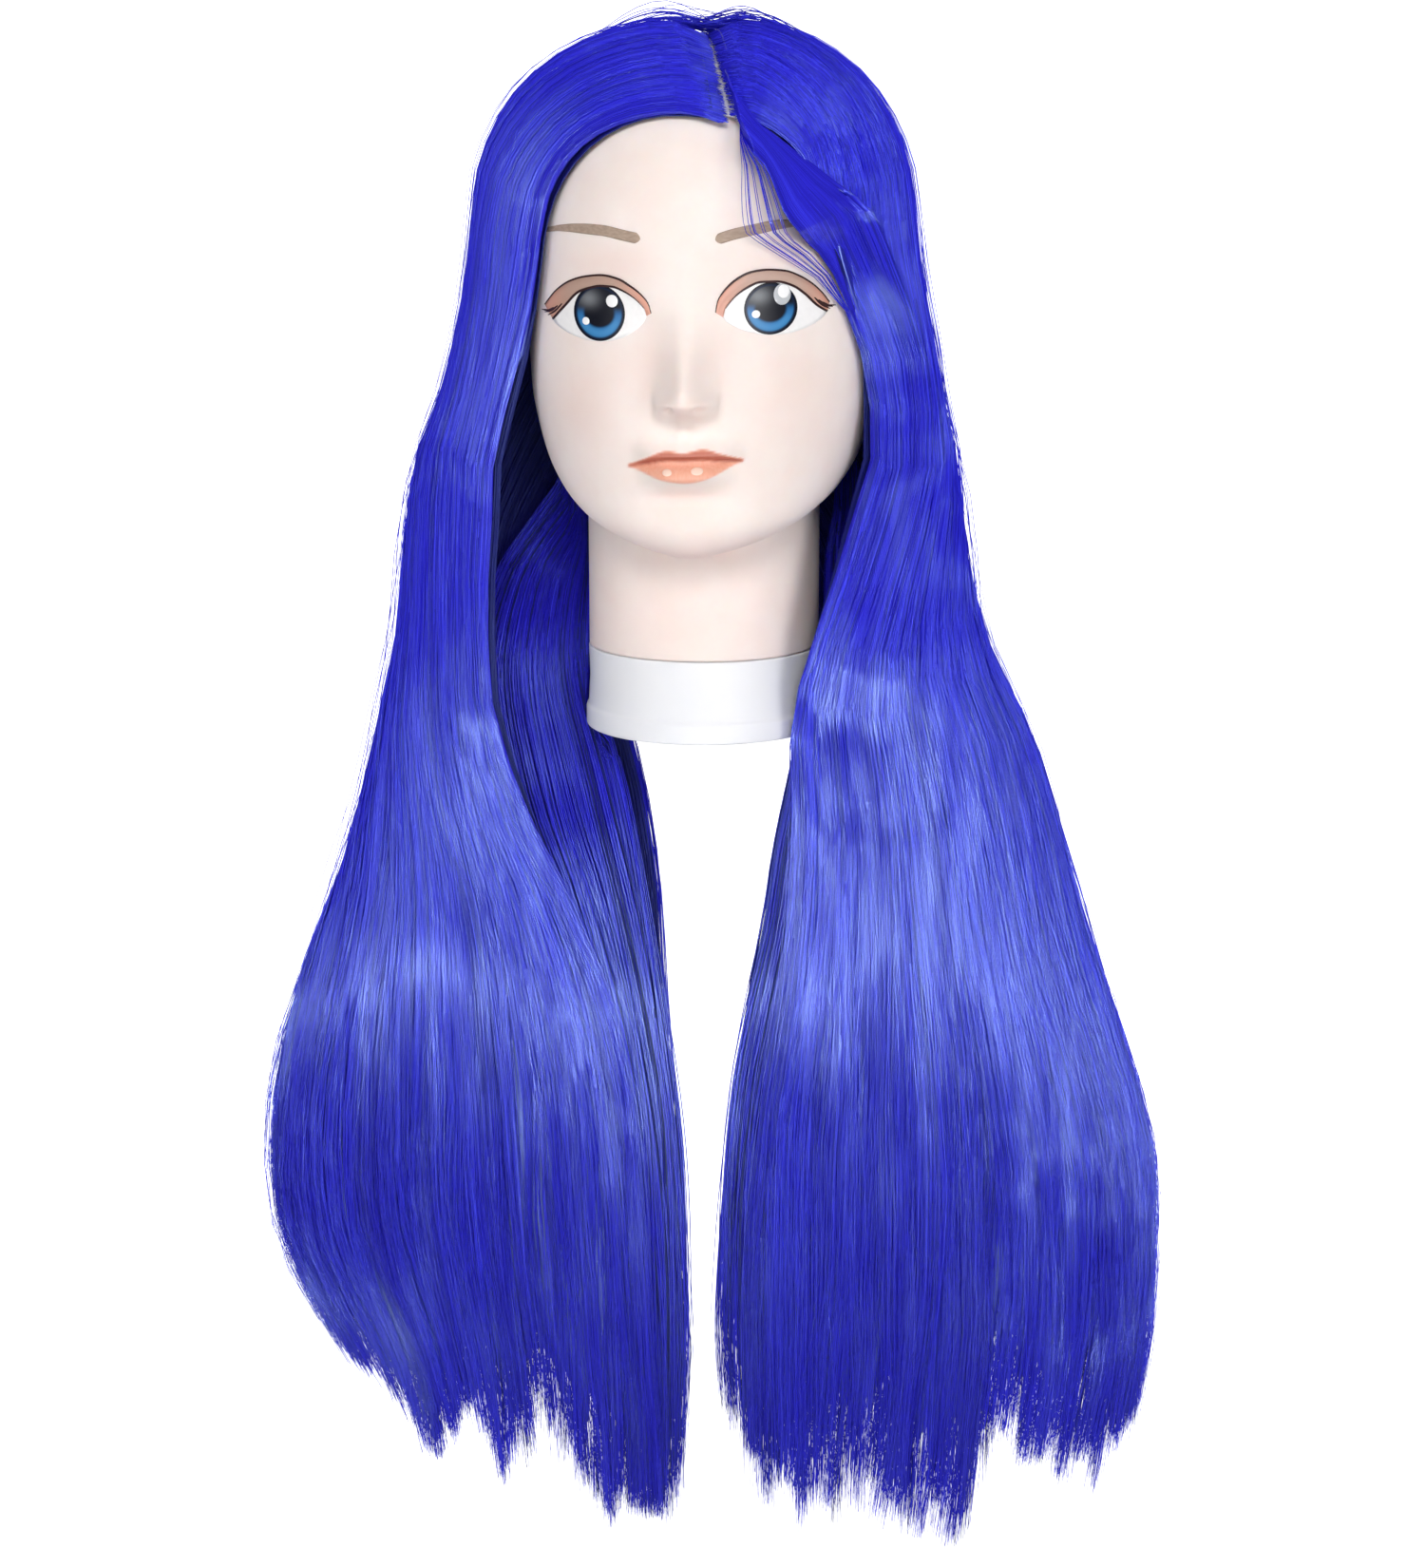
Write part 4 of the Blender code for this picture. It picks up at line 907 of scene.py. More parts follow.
        # highlights
        if s < 0:
            decal_disc(word + "_shine_big", circle(-31.0, 189.4, 2.5, 32), 0.42, [shine], 5)
            decal_disc(word + "_shine_small", circle(-42.5, 180.8, 1.55, 28), 0.42, [shine], 4)
        else:
            decal_disc(word + "_shine_glow", circle(37.6, 192.2, 3.7, 32, 0.9, 1.15), 0.36, [soft], 5)
            decal_disc(word + "_shine_big", circle(38.1, 193.4, 2.3, 32, 1.0, 1.2), 0.44, [shine], 5)
            decal_disc(word + "_shine_small", circle(27.4, 184.6, 1.6, 28), 0.44, [shine], 4)
        # brow
        p = resample(BROW[s], 70)
        d = np.gradient(p, axis=0)
        d /= np.linalg.norm(d, axis=1, keepdims=True)
        nrm = np.stack([-d[:, 1], d[:, 0]], -1)
        t = np.linspace(0, 1, 70)
        half = 2.15 * (0.45 + 0.55 * smooth(0, 0.55, t)) * np.sqrt(np.clip((1.0 - t) / 0.045, 0.02, 1))
        decal_band(word.replace("eye", "brow"), p + nrm * half[:, None], p - nrm * half[:, None], 0.22,
                   [brow_m], cross=6, n=70)
    return


# ---------------------------------------------------------------------- hair
# very dark blue for strands in the hair's shadowed inside: painted shade
HAIR_PAINTED_SHADE = (0.006, 0.005, 0.15)
HAIR_TONES = [((0.016, 0.012, 0.46), 0.25), ((0.024, 0.018, 0.62), 0.23), ((0.030, 0.024, 0.76), 0.22),
              ((0.044, 0.043, 0.90), 0.22)]
HAIR_SHINE = (0.38, 0.53, 1.0)
ND, NS = 14, 20


def hair_materials():
    out = []
    for k, (c, r) in enumerate(HAIR_TONES):
        m, nt, b = principled("hair_tone_%d" % (k + 1), c, r)
        b.inputs["Specular IOR Level"].default_value = 0.9
        b.inputs["Specular Tint"].default_value = (*HAIR_SHINE, 1)
        gloss = noise(nt, 95.0, 2.0, stretch=(1.0, 1.0, 0.12))
        nt.links.new(ramp(nt, gloss, [(0.32, (0.45,) * 3), (0.66, (1.0,) * 3)]), b.inputs["Specular IOR Level"])
        out.append(m)
    # painted shade: the near-black tone of the inner strands
    m, nt, b = principled("hair_tone_deep", HAIR_PAINTED_SHADE, 0.5)
    b.inputs["Specular IOR Level"].default_value = 0.3
    b.inputs["Specular Tint"].default_value = (*HAIR_SHINE, 1)
    out.append(m)
    return out


def mass_material():
    # the under-layer is darker than the strands: painted shade of the hair's depth, with a streaky tone
    m, nt, b = principled("hair_mass", (0.012, 0.010, 0.34), 0.42)
    b.inputs["Specular IOR Level"].default_value = 0.6
    b.inputs["Specular Tint"].default_value = (*HAIR_SHINE, 1)
    a = attr(nt, "flow")
    n = nt.nodes.new("ShaderNodeTexNoise")
    n.inputs["Scale"].default_value = 1.0
    n.inputs["Detail"].default_value = 3.0
    nt.links.new(a.outputs["Color"], n.inputs["Vector"])
    nt.links.new(ramp(nt, n.outputs["Fac"], [(0.32, (0.005, 0.004, 0.16)), (0.5, (0.009, 0.008, 0.30)),
                                             (0.68, (0.018, 0.016, 0.52))]), b.inputs["Base Color"])
    return m


def root_level(u):
    zz = np.linspace(112, 205, 200)
    uu = u_max(zz)
    return np.interp(-u, -uu, zz)


def levels(z0, z1, n):
    k = np.linspace(0, 1, n + 1)[None, 1:]
    k = 0.70 * k + 0.30 * k ** 2.0
    return z0[:, None] + (z1 - z0)[:, None] * k


def strand_paths(side, u, w, zend, rng, lock, own=1.0, wave=1.0, crown=None):
    """Centre lines of many strands: (n, points, 3) in mm."""
    n = len(u)
    over = u > U_TOP
    s = np.linspace(0, 1, ND)[None, :]
    ud = np.minimum(u, U_TOP)
    if crown is None:
        root = rng.random(n)[:, None] * 0.03
        comb = 0.12 * (rng.random(n) * smooth(0.6, 0.2, ud))[:, None] * (1 - s) ** 1.3 if side > 0 else 0.0
        d = dome(side, np.minimum(ud[:, None] + comb, U_TOP), root + (1 - root) * s,
                 np.broadcast_to(w[:, None], (n, ND)))
        reach = part_gap(ud)[:, None] * rng.random(n)[:, None] ** 2.2 * 0.9
        d[..., 0] -= side * reach * (1 - s) ** 5
        d[..., 2] -= 1.5 * w[:, None] * (1 - s) ** 6
    else:
        d = crown
    zt = np.where(over, root_level(u), 205.0)
    z = levels(zt, zend, NS)
    q = np.clip(u[:, None] / u_max(z), 0, 1)
    uc, wc, ph, pull = lock
    far = smooth(150, -330, z) + 0.7 * smooth(-210, -380, z)
    q = q + (uc[:, None] / u_max(z) - q) * np.clip(pull[:, None] * far, 0, 0.92)
    ww = w[:, None] + (wc[:, None] - w[:, None]) * np.clip(pull[:, None] * far * 0.7, 0, 0.9)
    h = sheet(side, np.clip(q, 0, 1), z, ww)
    if side > 0:
        h[..., 0] -= 10.0 * bump(z, 62, 30) * smooth(0.8, 1.0, q)
        h[..., 0] -= 7.5 * bump(z, 8, 42) * smooth(0.30, 0.0, q)
    amp = (0.5 + 1.5 * smooth(120, -300, z)) * wave
    wob = ph[:, None]
    h[..., 0] += amp * np.sin(z / 47.0 + wob * TAU) + 0.4 * amp * np.sin(z / 19.0 + wob * 17.0)
    h[..., 1] += 0.8 * amp * np.sin(z / 39.0 + wob * 11.0)
    r2 = rng.uniform(0, TAU, n)[:, None]
    g = smooth(160, -350, z)
    h[..., 0] += own * (rng.normal(0, 1, n)[:, None] * (0.3 + 1.8 * g) + 0.35 * np.sin(z / 23.0 + r2) * (0.4 + g))
    h[..., 1] += own * (rng.normal(0, 1, n)[:, None] * (0.25 + 1.2 * g)
                        + 0.40 * np.sin(z / 21.0 + 2.3 * r2) * (0.3 + g) + 0.4 * np.sin(z / 55.0 + 5.1 * r2))
    if over.any():
        root = h[over][:, :1].copy()
        tiny = np.linspace(-1.0, 0.0, ND)[None, :, None] * np.array([0, 0, -0.5])
        d[over] = np.repeat(root, ND, axis=1) + tiny
    # ease the step between crown and hanging part
    p = np.concatenate([d, h], axis=1)
    soft = p.copy()
    for _ in range(2):
        soft[:, 1:-1] = 0.25 * soft[:, :-2] + 0.5 * soft[:, 1:-1] + 0.25 * soft[:, 2:]
    k = np.zeros(ND + NS)
    k[ND - 3:ND + 3] = 1.0
    return p * (1 - k)[None, :, None] + soft * k[None, :, None]


def finish_paths(side, p, least=2.8):
    """Keep clear of the head, and sweep the tips."""
    near = p[..., 2] > 30
    p[near] = push(p[near], least)
    # clear of the neck base
    low = (p[..., 2] <= 42) & (p[..., 2] > -6)
    r = np.hypot(p[..., 0], p[..., 1])
    k = np.where(low, np.maximum(r, BASE_RIM_R + 1.5) / np.maximum(r, 1), 1.0)
    p[..., 0] *= k
    p[..., 1] *= k
    down = np.maximum(-114.0 - p[..., 2], 0.0)
    p[..., 1] += 0.066 * np.minimum(down, 230.0) * smooth(0, 30, down)
    if side < 0:                      # outer tips of this tail curl inwards
        z = p[..., 2]
        k = smooth(-225, -350, z) * smooth(-70, -190, p[..., 0])
        p[..., 0] += 26.0 * k ** 1.3
    return p


def tubes(name, paths, radius, mats, tone, sides=3, tip=0.25):
    """Closed three-sided tubes along many centre lines, in one mesh."""
    n, m, _ = paths.shape
    t = np.gradient(paths, axis=1)
    t /= np.maximum(np.linalg.norm(t, axis=2, keepdims=True), 1e-9)
    ref = np.array([0.0, 1.0, 0.0])
    a = np.cross(t, ref)
    a /= np.maximum(np.linalg.norm(a, axis=2, keepdims=True), 1e-6)
    b = np.cross(t, a)
    along = np.linspace(0, 1, m)
    prof = np.minimum(1.0, 0.45 + along * 8) * (tip + (1 - tip) * smooth(1.0, 0.74, along))
    rad = radius[:, None] * prof[None]
    ang = np.arange(sides) * TAU / sides + 0.5
    ring = (paths[:, :, None] + rad[:, :, None, None]
            * (a[:, :, None] * np.cos(ang)[:, None] + b[:, :, None] * np.sin(ang)[:, None]))
    ends = np.stack([paths[:, 0] - t[:, 0] * radius[:, None], paths[:, -1] + t[:, -1] * radius[:, None] * 2], 1)
    per = m * sides + 2
    co = np.concatenate([ring.reshape(n, m * sides, 3), ends], 1)
    base = (np.arange(n) * per)[:, None, None]
    q = quads(m, sides, True)
    q = (q[None] + base).reshape(-1, 4)
    j = np.arange(sides)
    t0 = np.stack([(j + 1) % sides, j, np.full(sides, m * sides)], -1)
    t1 = np.stack([(m - 1) * sides + j, (m - 1) * sides + (j + 1) % sides, np.full(sides, m * sides + 1)], -1)
    tt = (np.concatenate([t0, t1])[None] + base).reshape(-1, 3)
    nq = (m - 1) * sides
    sizes = np.concatenate([np.full(len(q), 4), np.full(len(tt), 3)])
    mi = np.concatenate([np.repeat(tone, nq), np.repeat(tone, 2 * sides)])
    return new_mesh(name, co, np.concatenate([q.ravel(), tt.ravel()]), sizes, mats, mi)


TIPS = {-1: [(0, -376), (0.12, -386), (0.28, -374), (0.40, -338), (0.50, -366), (0.60, -330), (0.70, -354),
             (0.82, -344), (0.92, -318), (1, -292)],
        1: [(0, -334), (0.10, -348), (0.24, -380), (0.34, -362), (0.50, -384), (0.60, -388), (0.66, -340),
            (0.76, -350), (0.90, -350), (1, -316)]}


def x_fraction(side, q, z=-260.0):
    x, _ = sheet_mid(side, q, np.full(np.shape(q), z))
    xi, xo = float(curve(z, INNER[side])), float(curve(z, SIL[side]))
    return np.clip((np.abs(x) - xi) / (xo - xi), 0, 1)


def hang(ob, nodes):
    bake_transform(ob)
    if nodes:
        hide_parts(*nodes)


def hair_group(name, side, u0, u1, count, locks, seed, mats, rad=0.30, inner=0.2, tip_spread=13.0,
               tones=(0.16, 0.34, 0.36, 0.14), edge_bias=0.0, wide=(0.74, 1.06), own=1.0, wave=1.0, crown=None,
               u=None, short=0.0):
    rng = np.random.default_rng(seed)
    if u is None:
        u = u0 + (u1 - u0) * rng.random(count)
    if edge_bias:
        k = rng.random(count) < edge_bias
        u[k] = u0 + (u1 - u0) * rng.random(k.sum()) ** 2.5 * 0.35
    w = wide[0] + (wide[1] - wide[0]) * rng.random(count)
    k = rng.random(count) < inner
    w[k] = 0.0 + 0.14 * rng.random(k.sum())
    lu = np.sort(u0 + (u1 - u0) * (np.arange(locks) + rng.random(locks)) / locks)
    lp = rng.random(locks)
    lt = rng.normal(0, 8.0, locks)
    lk = np.clip(rng.normal(0.45, 0.2, locks), 0.1, 0.8)
    near = np.argmin(np.abs((u + rng.normal(0, 0.15 * (u1 - u0) / locks, count))[:, None] - lu[None]), axis=1)
    frac = x_fraction(side, np.clip(u, 0, 1))
    zend = curve(frac, TIPS[side]) + lt[near] + np.abs(rng.normal(0, tip_spread, count)) - 4
    zend = zend + short * rng.random(count) ** 2
    pull = lk[near] * rng.uniform(0.3, 1.0, count)
    wl = w + (0.5 - w) * 0.5
    p = strand_paths(side, u, w, zend, rng, (lu[near], wl, lp[near], pull), own, wave,
                     crown(side, u, w, rng) if crown else None)
    p = finish_paths(side, p)
    lt_tone = rng.choice(4, locks, p=tones)
    tone = np.where(rng.random(count) < 0.4, lt_tone[near], rng.choice(4, count, p=tones))
    # strands on the sheet's inner face take the near-black tone as painted shade
    tone = np.where(w < 0.2, 4, tone)
    radius = rad * rng.uniform(0.75, 1.15, count)
    parts = int(math.ceil(count / 960.0))
    for k in range(parts):
        pick = slice(k, None, parts)
        tag = "" if parts == 1 else "_" + "abcd"[k]
        hang(tubes(name + tag, p[pick], radius[pick], mats, tone[pick]), None)


def mass(name, side, u0, u1, cols, seed, mat, nodes, hanging=False):
    """Closed slab under the strands, with a torn lower edge."""
    rng = np.random.default_rng(seed)
    u = np.linspace(u0, u1, cols)
    frac = x_fraction(side, u)
    zend = curve(frac, TIPS[side]) + 44 + rng.uniform(-20, 24, cols)
    zt = np.where(u > U_TOP, root_level(u) - 1.0, 205.0)
    z = levels(zt, zend, 30)
    q = np.clip(u[:, None] / u_max(z), 0, 1)
    parts = []
    for w in (0.14, 0.68):
        thin = 0.5 + (w - 0.5) * (0.12 + 0.88 * smooth(zend[:, None], zend[:, None] + 90, z))
        h = sheet(side, q, z, thin)
        if side > 0:
            h[..., 0] -= 9.0 * bump(z, 62, 30) * smooth(0.8, 1.0, q)
        if not hanging:
            s = np.linspace(0.035, 1, 16)[None]
            d = dome(side, np.broadcast_to(u[:, None], (cols, 16)), np.broadcast_to(s, (cols, 16)),
                     np.full((cols, 16), w))
            h = np.concatenate([d, h], axis=1)
        parts.append(finish_paths(side, h.copy(), 2.6 if w < 0.5 else 4.2))
    ob = slab_obj(name, parts[0], parts[1], [mat])
    n = parts[0].shape[1]
    t = np.linspace(0, 1, n)
    flow = np.stack([np.broadcast_to(u[:, None] * 260, (cols, n)), np.broadcast_to(t[None] * 3.0, (cols, n)),
                     np.full((cols, n), seed * 1.7), np.ones((cols, n))], -1).reshape(-1, 4)
    flow = np.concatenate([flow, flow + np.array([0, 0, 0.4, 0])]).astype(np.float32)
    ca = ob.data.color_attributes.new("flow", "FLOAT_COLOR", "POINT")
    ca.data.foreach_set("color", flow.ravel())
    hang(ob, nodes)


def bridge(name, side, count, seed, mats):
    """Strands that come forward beside the neck and close the front of the tail."""
    rng = np.random.default_rng(seed)
    b = rng.random(count)
    z0 = 118 - 30 * rng.random(count)
    frac = 0.02 + 0.30 * b
    zend = curve(frac, TIPS[side]) + np.abs(rng.normal(0, 14, count)) + rng.normal(0, 6, count)
    m = ND + NS
    z = levels(z0 + 4, zend, m)
    xi, xe = curve(z, INNER[side]), curve(z, EDGE[side])
    wide = np.maximum(xe - xi + 14, 18.0)
    x = xi + 1.5 + wide * b[:, None]
    # beside the neck: start behind the jaw, in the hair's inner face
    back = smooth(20, 95, z)
    bx, by = sheet_mid(side, np.broadcast_to(0.97 - 0.22 * b[:, None], z.shape), z)
    cy, df, th = curve(z, DEPTH, 2), curve(z, DEPTH, 3), curve(z, DEPTH, 1)
    deep = rng.random(count)[:, None] * 0.5
    yf = cy - (df + 0.1 * th) * (0.45 + 0.55 * smooth(0, 0.5, b[:, None])) * (1 - deep)
    y0 = 2.0 + 10 * (1 - b[:, None])
    low = smooth(-70 if side < 0 else 10, 45, z)
    y = yf + (y0 - yf) * low
    x = side * x
    x = x + (side * np.maximum(np.abs(bx), 56 + 10 * b[:, None]) - x) * back
    y = y + (np.minimum(by, 40) - y) * back
    x = x + rng.normal(0, 1, count)[:, None] * (0.5 + 1.4 * smooth(100, -300, z))
    y = y + rng.normal(0, 1, count)[:, None] * (0.4 + 0.9 * smooth(100, -300, z))
    x = x + 1.3 * smooth(120, -250, z) * np.sin(z / 43.0 + np.round(b[:, None] * 14) * 1.9)
    x = side * np.maximum(side * x, 1.2)
    p = np.stack([x, y, z], -1)
    p = finish_paths(side, p)
    # about a fifth of these strands take the near-black tone (index 4) as painted shade beside the neck
    tone = rng.choice(5, count, p=(0.30, 0.30, 0.18, 0.04, 0.18))
    hang(tubes(name, p, 0.30 * rng.uniform(0.75, 1.15, count), mats, tone), None)


def crown_fuzz(mats):
    """Short loose hairs over the far end of the parting."""
    rng = np.random.default_rng(55)
    n = 260
    side = np.where(rng.random(n) < 0.5, -1.0, 1.0)
    u = 0.22 + 0.40 * rng.random(n) ** 0.8
    t = np.linspace(0, 1, 12)[None]
    out = np.zeros((n, 12, 3))
    lift_ = np.abs(rng.normal(0, 1, n)) * 3.2 + 0.5
    span = rng.uniform(0.10, 0.42, n)
    for k in range(n):
        sd = int(side[k])
        s0 = np.linspace(-0.05 - 0.06 * rng.random(), span[k], 12)
        here = dome(sd, np.full(12, u[k]) + 0.05 * rng.normal() * t[0], np.abs(s0), np.full(12, 1.0))
        other = dome(-sd, np.full(12, u[k]), np.abs(s0), np.full(12, 1.0))
        p = np.where((s0 < 0)[:, None], other, here)
        p[:, 2] += lift_[k] * np.sin(np.pi * np.clip(t[0] * 1.1, 0, 1)) + 0.6
        p[:, 1] += rng.normal() * 5 * t[0] ** 2
        for _ in range(3):
            p[1:-1] = 0.25 * p[:-2] + 0.5 * p[1:-1] + 0.25 * p[2:]
        out[k] = p
    ob = tubes("crown_loose_hairs", out, 0.22 * rng.uniform(0.7, 1.1, n), mats, rng.choice(4, n, p=(0.2, 0.3, 0.3, 0.2)))
    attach(ob, "head")


# where the front lock of the left-hand side of the head crosses the forehead: (z, x)
CROSS = [(186, 58.0), (197, 51.5), (205, 47.3), (214, 43.0), (231, 37.0), (248, 29.8), (262, 22.0)]


def crossing(side, u, w, rng):
    """Crown part of a lock that runs straight down across the forehead."""
    n = len(u)
    a = np.clip(u / 0.13, -0.6, 1)
    p0 = dome(side, 0.01 + 0.30 * np.clip(a, 0, 1) ** 1.1, np.full(n, 0.03), np.full(n, 1.0))
    z0 = p0[:, 2]
    zz = z0[:, None] + (205.0 - z0)[:, None] * np.linspace(0, 1, ND)[None] ** 0.9
    x = curve(zz, CROSS)
    x = x + a[:, None] * 33.0 * smooth(275, 215, zz)
    x = p0[:, :1] + (x - p0[:, :1]) * smooth(0, 0.35, np.linspace(0, 1, ND)[None])
    t = np.linspace(0, 1, ND)[None]
    e = sheet(side, np.clip(u, 0, 1), np.full(n, 205.0), w)
    y = p0[:, 1:2] + (e[:, 1:2] - p0[:, 1:2]) * smooth(0, 1, t)
    x = x + (e[:, :1] - 5.0 * (1 - np.clip(a, 0, 1))[:, None] - x) * smooth(0.6, 1.0, t) * (a > 0)[:, None]
    out = np.stack([np.broadcast_to(x, y.shape), y, np.broadcast_to(zz, y.shape)], -1)
    fy = front_y(np.clip(out[..., 0], -62, 62), np.clip(out[..., 2], 150, 262), 12.5) + 6.0 * np.clip(a, 0, 1)[:, None]
    k = smooth(0.0, 0.25, t) * smooth(1.0, 0.72, t)
    out[..., 1] = out[..., 1] + (np.minimum(fy, out[..., 1]) - out[..., 1]) * k
    return out


def build_hair():
    mats = hair_materials()
    mm = mass_material()
    for side, word in ((-1, "left"), (1, "right")):
        sd = 100 if side < 0 else 200
        mass(word + "_mass_front", side, 0.012, 0.26, 44, sd + 11, mm, [word + "_front_hair", word + "_tail_middle"])
        mass(word + "_mass_side", side, 0.262, 0.52, 40, sd + 12, mm, [word + "_side_hair", word + "_tail_outer"])
        mass(word + "_mass_back", side, 0.522, U_TOP, 30, sd + 13, mm, [word + "_back_hair"])
        mass(word + "_mass_nape", side, U_TOP + 0.004, 0.992, 30, sd + 14, mm, [word + "_tail_inner"], hanging=True)
        hair_group(word + "_strands_front", side, 0.0, 0.13, 1750, 16, sd + 1, mats, edge_bias=0.3, inner=0.25)
        hair_group(word + "_strands_temple", side, 0.12, 0.28, 1700, 16, sd + 2, mats, inner=0.1)
        hair_group(word + "_strands_side", side, 0.27, 0.52, 1700, 20, sd + 3, mats, inner=0.12)
        hair_group(word + "_strands_back", side, 0.50, 0.78, 1500, 18, sd + 4, mats, inner=0.2)
        hair_group(word + "_strands_nape", side, 0.76, 1.0, 1500, 18, sd + 5, mats, inner=0.35,
                   tones=(0.3, 0.4, 0.25, 0.05))
        hair_group(word + "_strands_loose", side, 0.02, 0.95, 150, 60, sd + 6, mats, inner=0.0, rad=0.16,
                   wide=(0.9, 1.22), own=3.2, wave=2.2, tip_spread=26.0, tones=(0.0, 0.3, 0.4, 0.3))
        bridge(word + "_strands_bridge", side, 850 if side < 0 else 700, sd + 7, mats)
    hair_group("right_strands_cross", 1, 0.0, 0.13, 950, 9, 231, mats, inner=0.0, wide=(0.95, 1.2),
               crown=crossing, edge_bias=0.2)
    crown_fuzz(mats)
    rng = np.random.default_rng(77)
    hair_group("right_strands_wisp", 1, 0.0, 0.1, 16, 8, 232, mats, inner=0.0, wide=(1.0, 1.2), rad=0.16,
               crown=crossing, u=-0.07 * rng.random(16), tones=(0.4, 0.4, 0.2, 0.0))


# -------------------------------------------------------------- base and trim
def build_base():
    m = simple_surface("base_white_fine", (0.84, 0.85, 0.89), (0.88, 0.88, 0.91), 0.45, 30.0, bump=0.03)
    b = m.node_tree.nodes["Principled BSDF"]
    b.inputs["Specular IOR Level"].default_value = 0.12
    b.inputs["Subsurface Weight"].default_value = 0.25
    b.inputs["Subsurface Radius"].default_value = (1.0, 1.0, 1.1)
    b.inputs["Subsurface Scale"].default_value = 0.004
    ri = NECK_R - 3.0
    pr = rounded([(BASE_RIM_R, 0), (BASE_RIM_R, BASE_RIM_H - 0.4), (NECK_R + 0.6, BASE_RIM_H + 1.0),
                  (NECK_R - 0.1, 22), (NECK_R + 0.3, BASE_TOP + 0.1), (NECK_R - 3.4, BASE_TOP + 0.1),
                  (SOCKET_OUT_R + 0.4, BASE_TOP - 0.1), (SOCKET_OUT_R + 0.4, BASE_TOP - 3.0),
                  (ri, BASE_TOP - 3.0), (ri, 0)],
                 [1.4, 1.2, 1.2, 0, 1.0, 0, 0, 0.4, 2.0, 0.8])
    ob = lathe_obj("neck_base", pr, 160, [m])
    bosses = []
    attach(ob, "head")
    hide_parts("neck_base_cup")


def node_object(node):
    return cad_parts[node] if not isinstance(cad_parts[node], dict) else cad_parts[node]["object"]


def dress_nodes():
    net, nt, b = principled("cap_net_fine", (0.02, 0.02, 0.14), 0.75)
    v = nt.nodes.new("ShaderNodeTexVoronoi")
    v.inputs["Scale"].default_value = 420.0
    tc = nt.nodes.new("ShaderNodeTexCoord")
    nt.links.new(tc.outputs["Object"], v.inputs["Vector"])
    nt.links.new(ramp(nt, v.outputs["Distance"], [(0.1, (0.008, 0.008, 0.07)), (0.6, (0.03, 0.03, 0.22))]),
                 b.inputs["Base Color"])
    bump_node(nt, b, v.outputs["Distance"], 0.6, 0.0006)
    tape, nt, b = principled("weft_tape_fine", (0.02, 0.02, 0.25), 0.7)
    f = noise(nt, 900.0, 2.0, stretch=(1, 1, 5))
    nt.links.new(ramp(nt, f, [(0.35, (0.012, 0.012, 0.14)), (0.65, (0.03, 0.03, 0.34))]), b.inputs["Base Color"])
    bump_node(nt, b, f, 0.5, 0.0005)
    white = simple_surface("plate_white_fine", (0.80, 0.81, 0.84), (0.85, 0.86, 0.88), 0.4, 40.0, bump=0.05)
    grey = simple_surface("socket_grey_fine", (0.40, 0.41, 0.43), (0.46, 0.47, 0.49), 0.5, 60.0, bump=0.1)
    steel = simple_surface("screw_steel_fine", (0.55, 0.55, 0.57), (0.66, 0.66, 0.68), 0.3, 200.0, bump=0.1)
    steel.node_tree.nodes["Principled BSDF"].inputs["Metallic"].default_value = 1.0
    foam = simple_surface("foam_fine", (0.80, 0.73, 0.52), (0.88, 0.82, 0.62), 0.9, 160.0, bump=0.5, dist=0.0008)
    use = {"wig_cap": net, "nape_band": tape, "base_plate": white, "clamp_socket": grey, "foam_core": foam}
    for k in range(1, 6):
        use["weft_track_%d" % k] = tape
    for k in range(1, 5):
        use["base_screw_%d" % k] = steel
    for node, m in use.items():
        ob = node_object(node)
        if not ob.material_slots:
            ob.data.materials.append(m)
        for s in ob.material_slots:
            s.material = m


def build_scalp():
    """Pale scalp strip in the parting, finely creased."""
    m, nt, b = principled("scalp_fine", (0.66, 0.66, 0.70), 0.5)
    f = noise(nt, 700.0, 4.0, stretch=(1.0, 0.4, 1.0))
    nt.links.new(ramp(nt, f, [(0.3, (0.50, 0.50, 0.60)), (0.7, (0.76, 0.74, 0.78))]), b.inputs["Base Color"])
    bump_node(nt, b, f, 0.5, 0.0004)
    u = np.linspace(0.012, 0.36, 40)
    al = np.radians(36.5 + u / U_TOP * 143.5)
    g = part_gap(u) + 1.6
    c = part_x(u)
    k = np.linspace(-1, 1, 13)
    x = c[:, None] + g[:, None] * k[None]
    dy, dz = -np.cos(al) * 93.0, np.sin(al) * 86.0
    p = np.stack([x, np.broadcast_to(6 + dy[:, None], x.shape), np.broadcast_to(205 + dz[:, None], x.shape)], -1)
    o = np.array([0.0, 6.0, 190.0])
    d = p - o
    d /= np.linalg.norm(d, axis=-1, keepdims=True)
    oo = np.broadcast_to(o, d.shape).reshape(-1, 3)
    inner = cast(oo, d.reshape(-1, 3), 2.3).reshape(d.shape)
    outer = cast(oo, d.reshape(-1, 3), 2.9).reshape(d.shape)
    ob = slab_obj("scalp_strip", inner, outer, [m])
    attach(ob, "head")
    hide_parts("parting_strip")


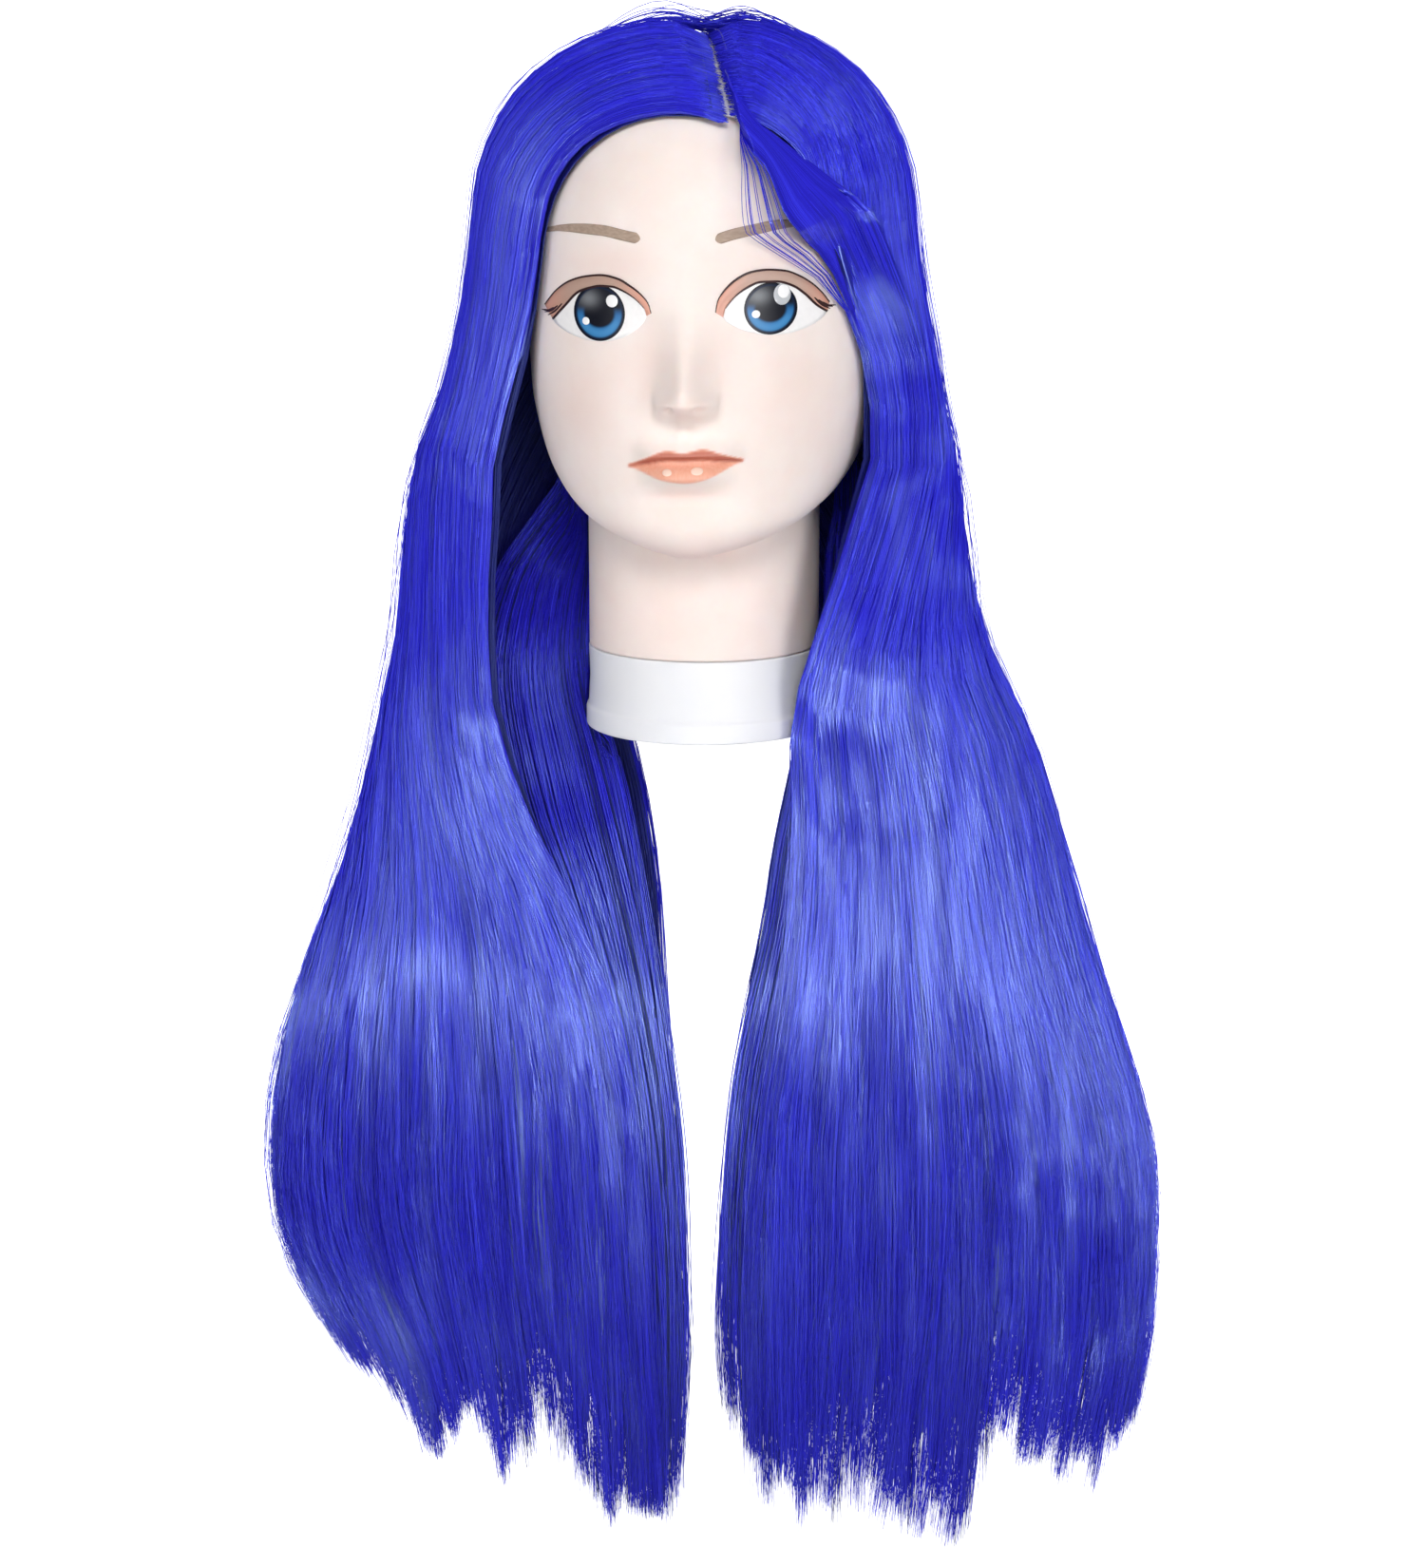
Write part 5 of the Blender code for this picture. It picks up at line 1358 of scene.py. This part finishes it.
# ------------------------------------------------------------ studio and camera
def build_studio():
    m, nt, b = principled("studio_white", (0.82, 0.82, 0.82), 0.95)
    b.inputs["Specular IOR Level"].default_value = 0.1
    b.inputs["Emission Color"].default_value = (1, 1, 1, 1)
    tc = nt.nodes.new("ShaderNodeTexCoord")
    sep = nt.nodes.new("ShaderNodeSeparateXYZ")
    nt.links.new(tc.outputs["Object"], sep.inputs[0])
    mr = nt.nodes.new("ShaderNodeMapRange")
    mr.inputs["From Min"].default_value = -0.35
    mr.inputs["From Max"].default_value = 0.5
    mr.inputs["To Min"].default_value = 0.0
    mr.inputs["To Max"].default_value = 0.95
    nt.links.new(sep.outputs["Y"], mr.inputs["Value"])
    nt.links.new(mr.outputs[0], b.inputs["Emission Strength"])
    prof = []
    zf, yb, r = -0.78, 2.3, 0.9
    for y in np.linspace(-3.0, yb - r, 8):
        prof.append((y, zf))
    for a in np.linspace(0, math.pi / 2, 14)[1:]:
        prof.append((yb - r + r * math.sin(a), zf + r - r * math.cos(a)))
    for z in np.linspace(zf + r, 2.6, 6)[1:]:
        prof.append((yb, z))
    xs = np.linspace(-3, 3, 9)
    pr = np.array(prof)
    g = np.stack([np.broadcast_to(xs[None], (len(pr), 9)), np.broadcast_to(pr[:, None, 0], (len(pr), 9)),
                  np.broadcast_to(pr[:, None, 1], (len(pr), 9))], -1) / MM
    f = quads(len(pr), 9, False)
    ob = new_mesh("studio_sweep", g, f, np.full(len(f), 4), [m])

    def area(name, loc, target, size, size_y, power, color=(1, 1, 1)):
        li = bpy.data.lights.new(name, "AREA")
        li.shape = "RECTANGLE"
        li.size, li.size_y = size, size_y
        li.energy = power
        li.color = color
        ob = bpy.data.objects.new(name, li)
        ob.location = loc
        ob.rotation_euler = (Vector(target) - Vector(loc)).to_track_quat("-Z", "Y").to_euler()
        bpy.context.scene.collection.objects.link(ob)
        return ob

    area("key_front", (0.15, -2.2, 1.35), (0, 0, 0.12), 1.2, 0.8, 34)
    area("fill_left", (-1.7, -1.3, 0.45), (0, 0, 0.0), 0.8, 1.0, 10)
    area("fill_right", (1.5, -1.5, 0.40), (0, 0, 0.0), 0.8, 1.0, 13)
    # panels that only add the sheen of the hair
    for li in (area("sheen_low", (0.05, -1.1, -0.66), (0, 0, -0.12), 1.5, 0.10, 66),
               area("sheen_up", (0.25, -1.25, -0.30), (0, 0, 0.05), 1.2, 0.16, 20),
               area("sheen_mid", (1.15, -1.5, 0.10), (0, 0, 0.2), 0.7, 0.25, 12),
               area("sheen_crown_1", (1.35, -2.0, 1.5), (0, 0, 0.25), 0.7, 0.5, 42),
               area("sheen_crown_2", (-1.25, -2.0, 1.5), (0, 0, 0.25), 0.5, 0.4, 12)):
        li.visible_diffuse = False
        li.visible_camera = False
    w = bpy.data.worlds.new("studio_world")
    w.use_nodes = True
    w.node_tree.nodes["Background"].inputs[0].default_value = (1, 1, 1, 1)
    w.node_tree.nodes["Background"].inputs[1].default_value = 0.14
    bpy.context.scene.world = w


def build_camera():
    az = math.radians(4.5)
    pitch = math.radians(13.02)
    rot = Matrix.Rotation(az, 3, "Z")
    loc = rot @ Vector((0.0037, -1.30, 0.272))
    fwd = rot @ Vector((0, math.cos(pitch), -math.sin(pitch)))
    cam = bpy.data.cameras.new("camera")
    cam.sensor_fit = "AUTO"
    cam.sensor_width = 36.0
    cam.lens = 3150.0 / 1650.0 * 36.0
    cam.clip_start = 0.05
    cam.clip_end = 30
    ob = bpy.data.objects.new("camera", cam)
    ob.location = loc
    ob.rotation_euler = fwd.to_track_quat("-Z", "Y").to_euler()
    bpy.context.scene.collection.objects.link(ob)
    bpy.context.scene.camera = ob
    bpy.context.scene.view_settings.view_transform = "Standard"
    bpy.context.scene.view_settings.look = "None"


build_camera()
build_studio()
build_head()
build_face_paint()
build_base()
build_scalp()
dress_nodes()
build_hair()
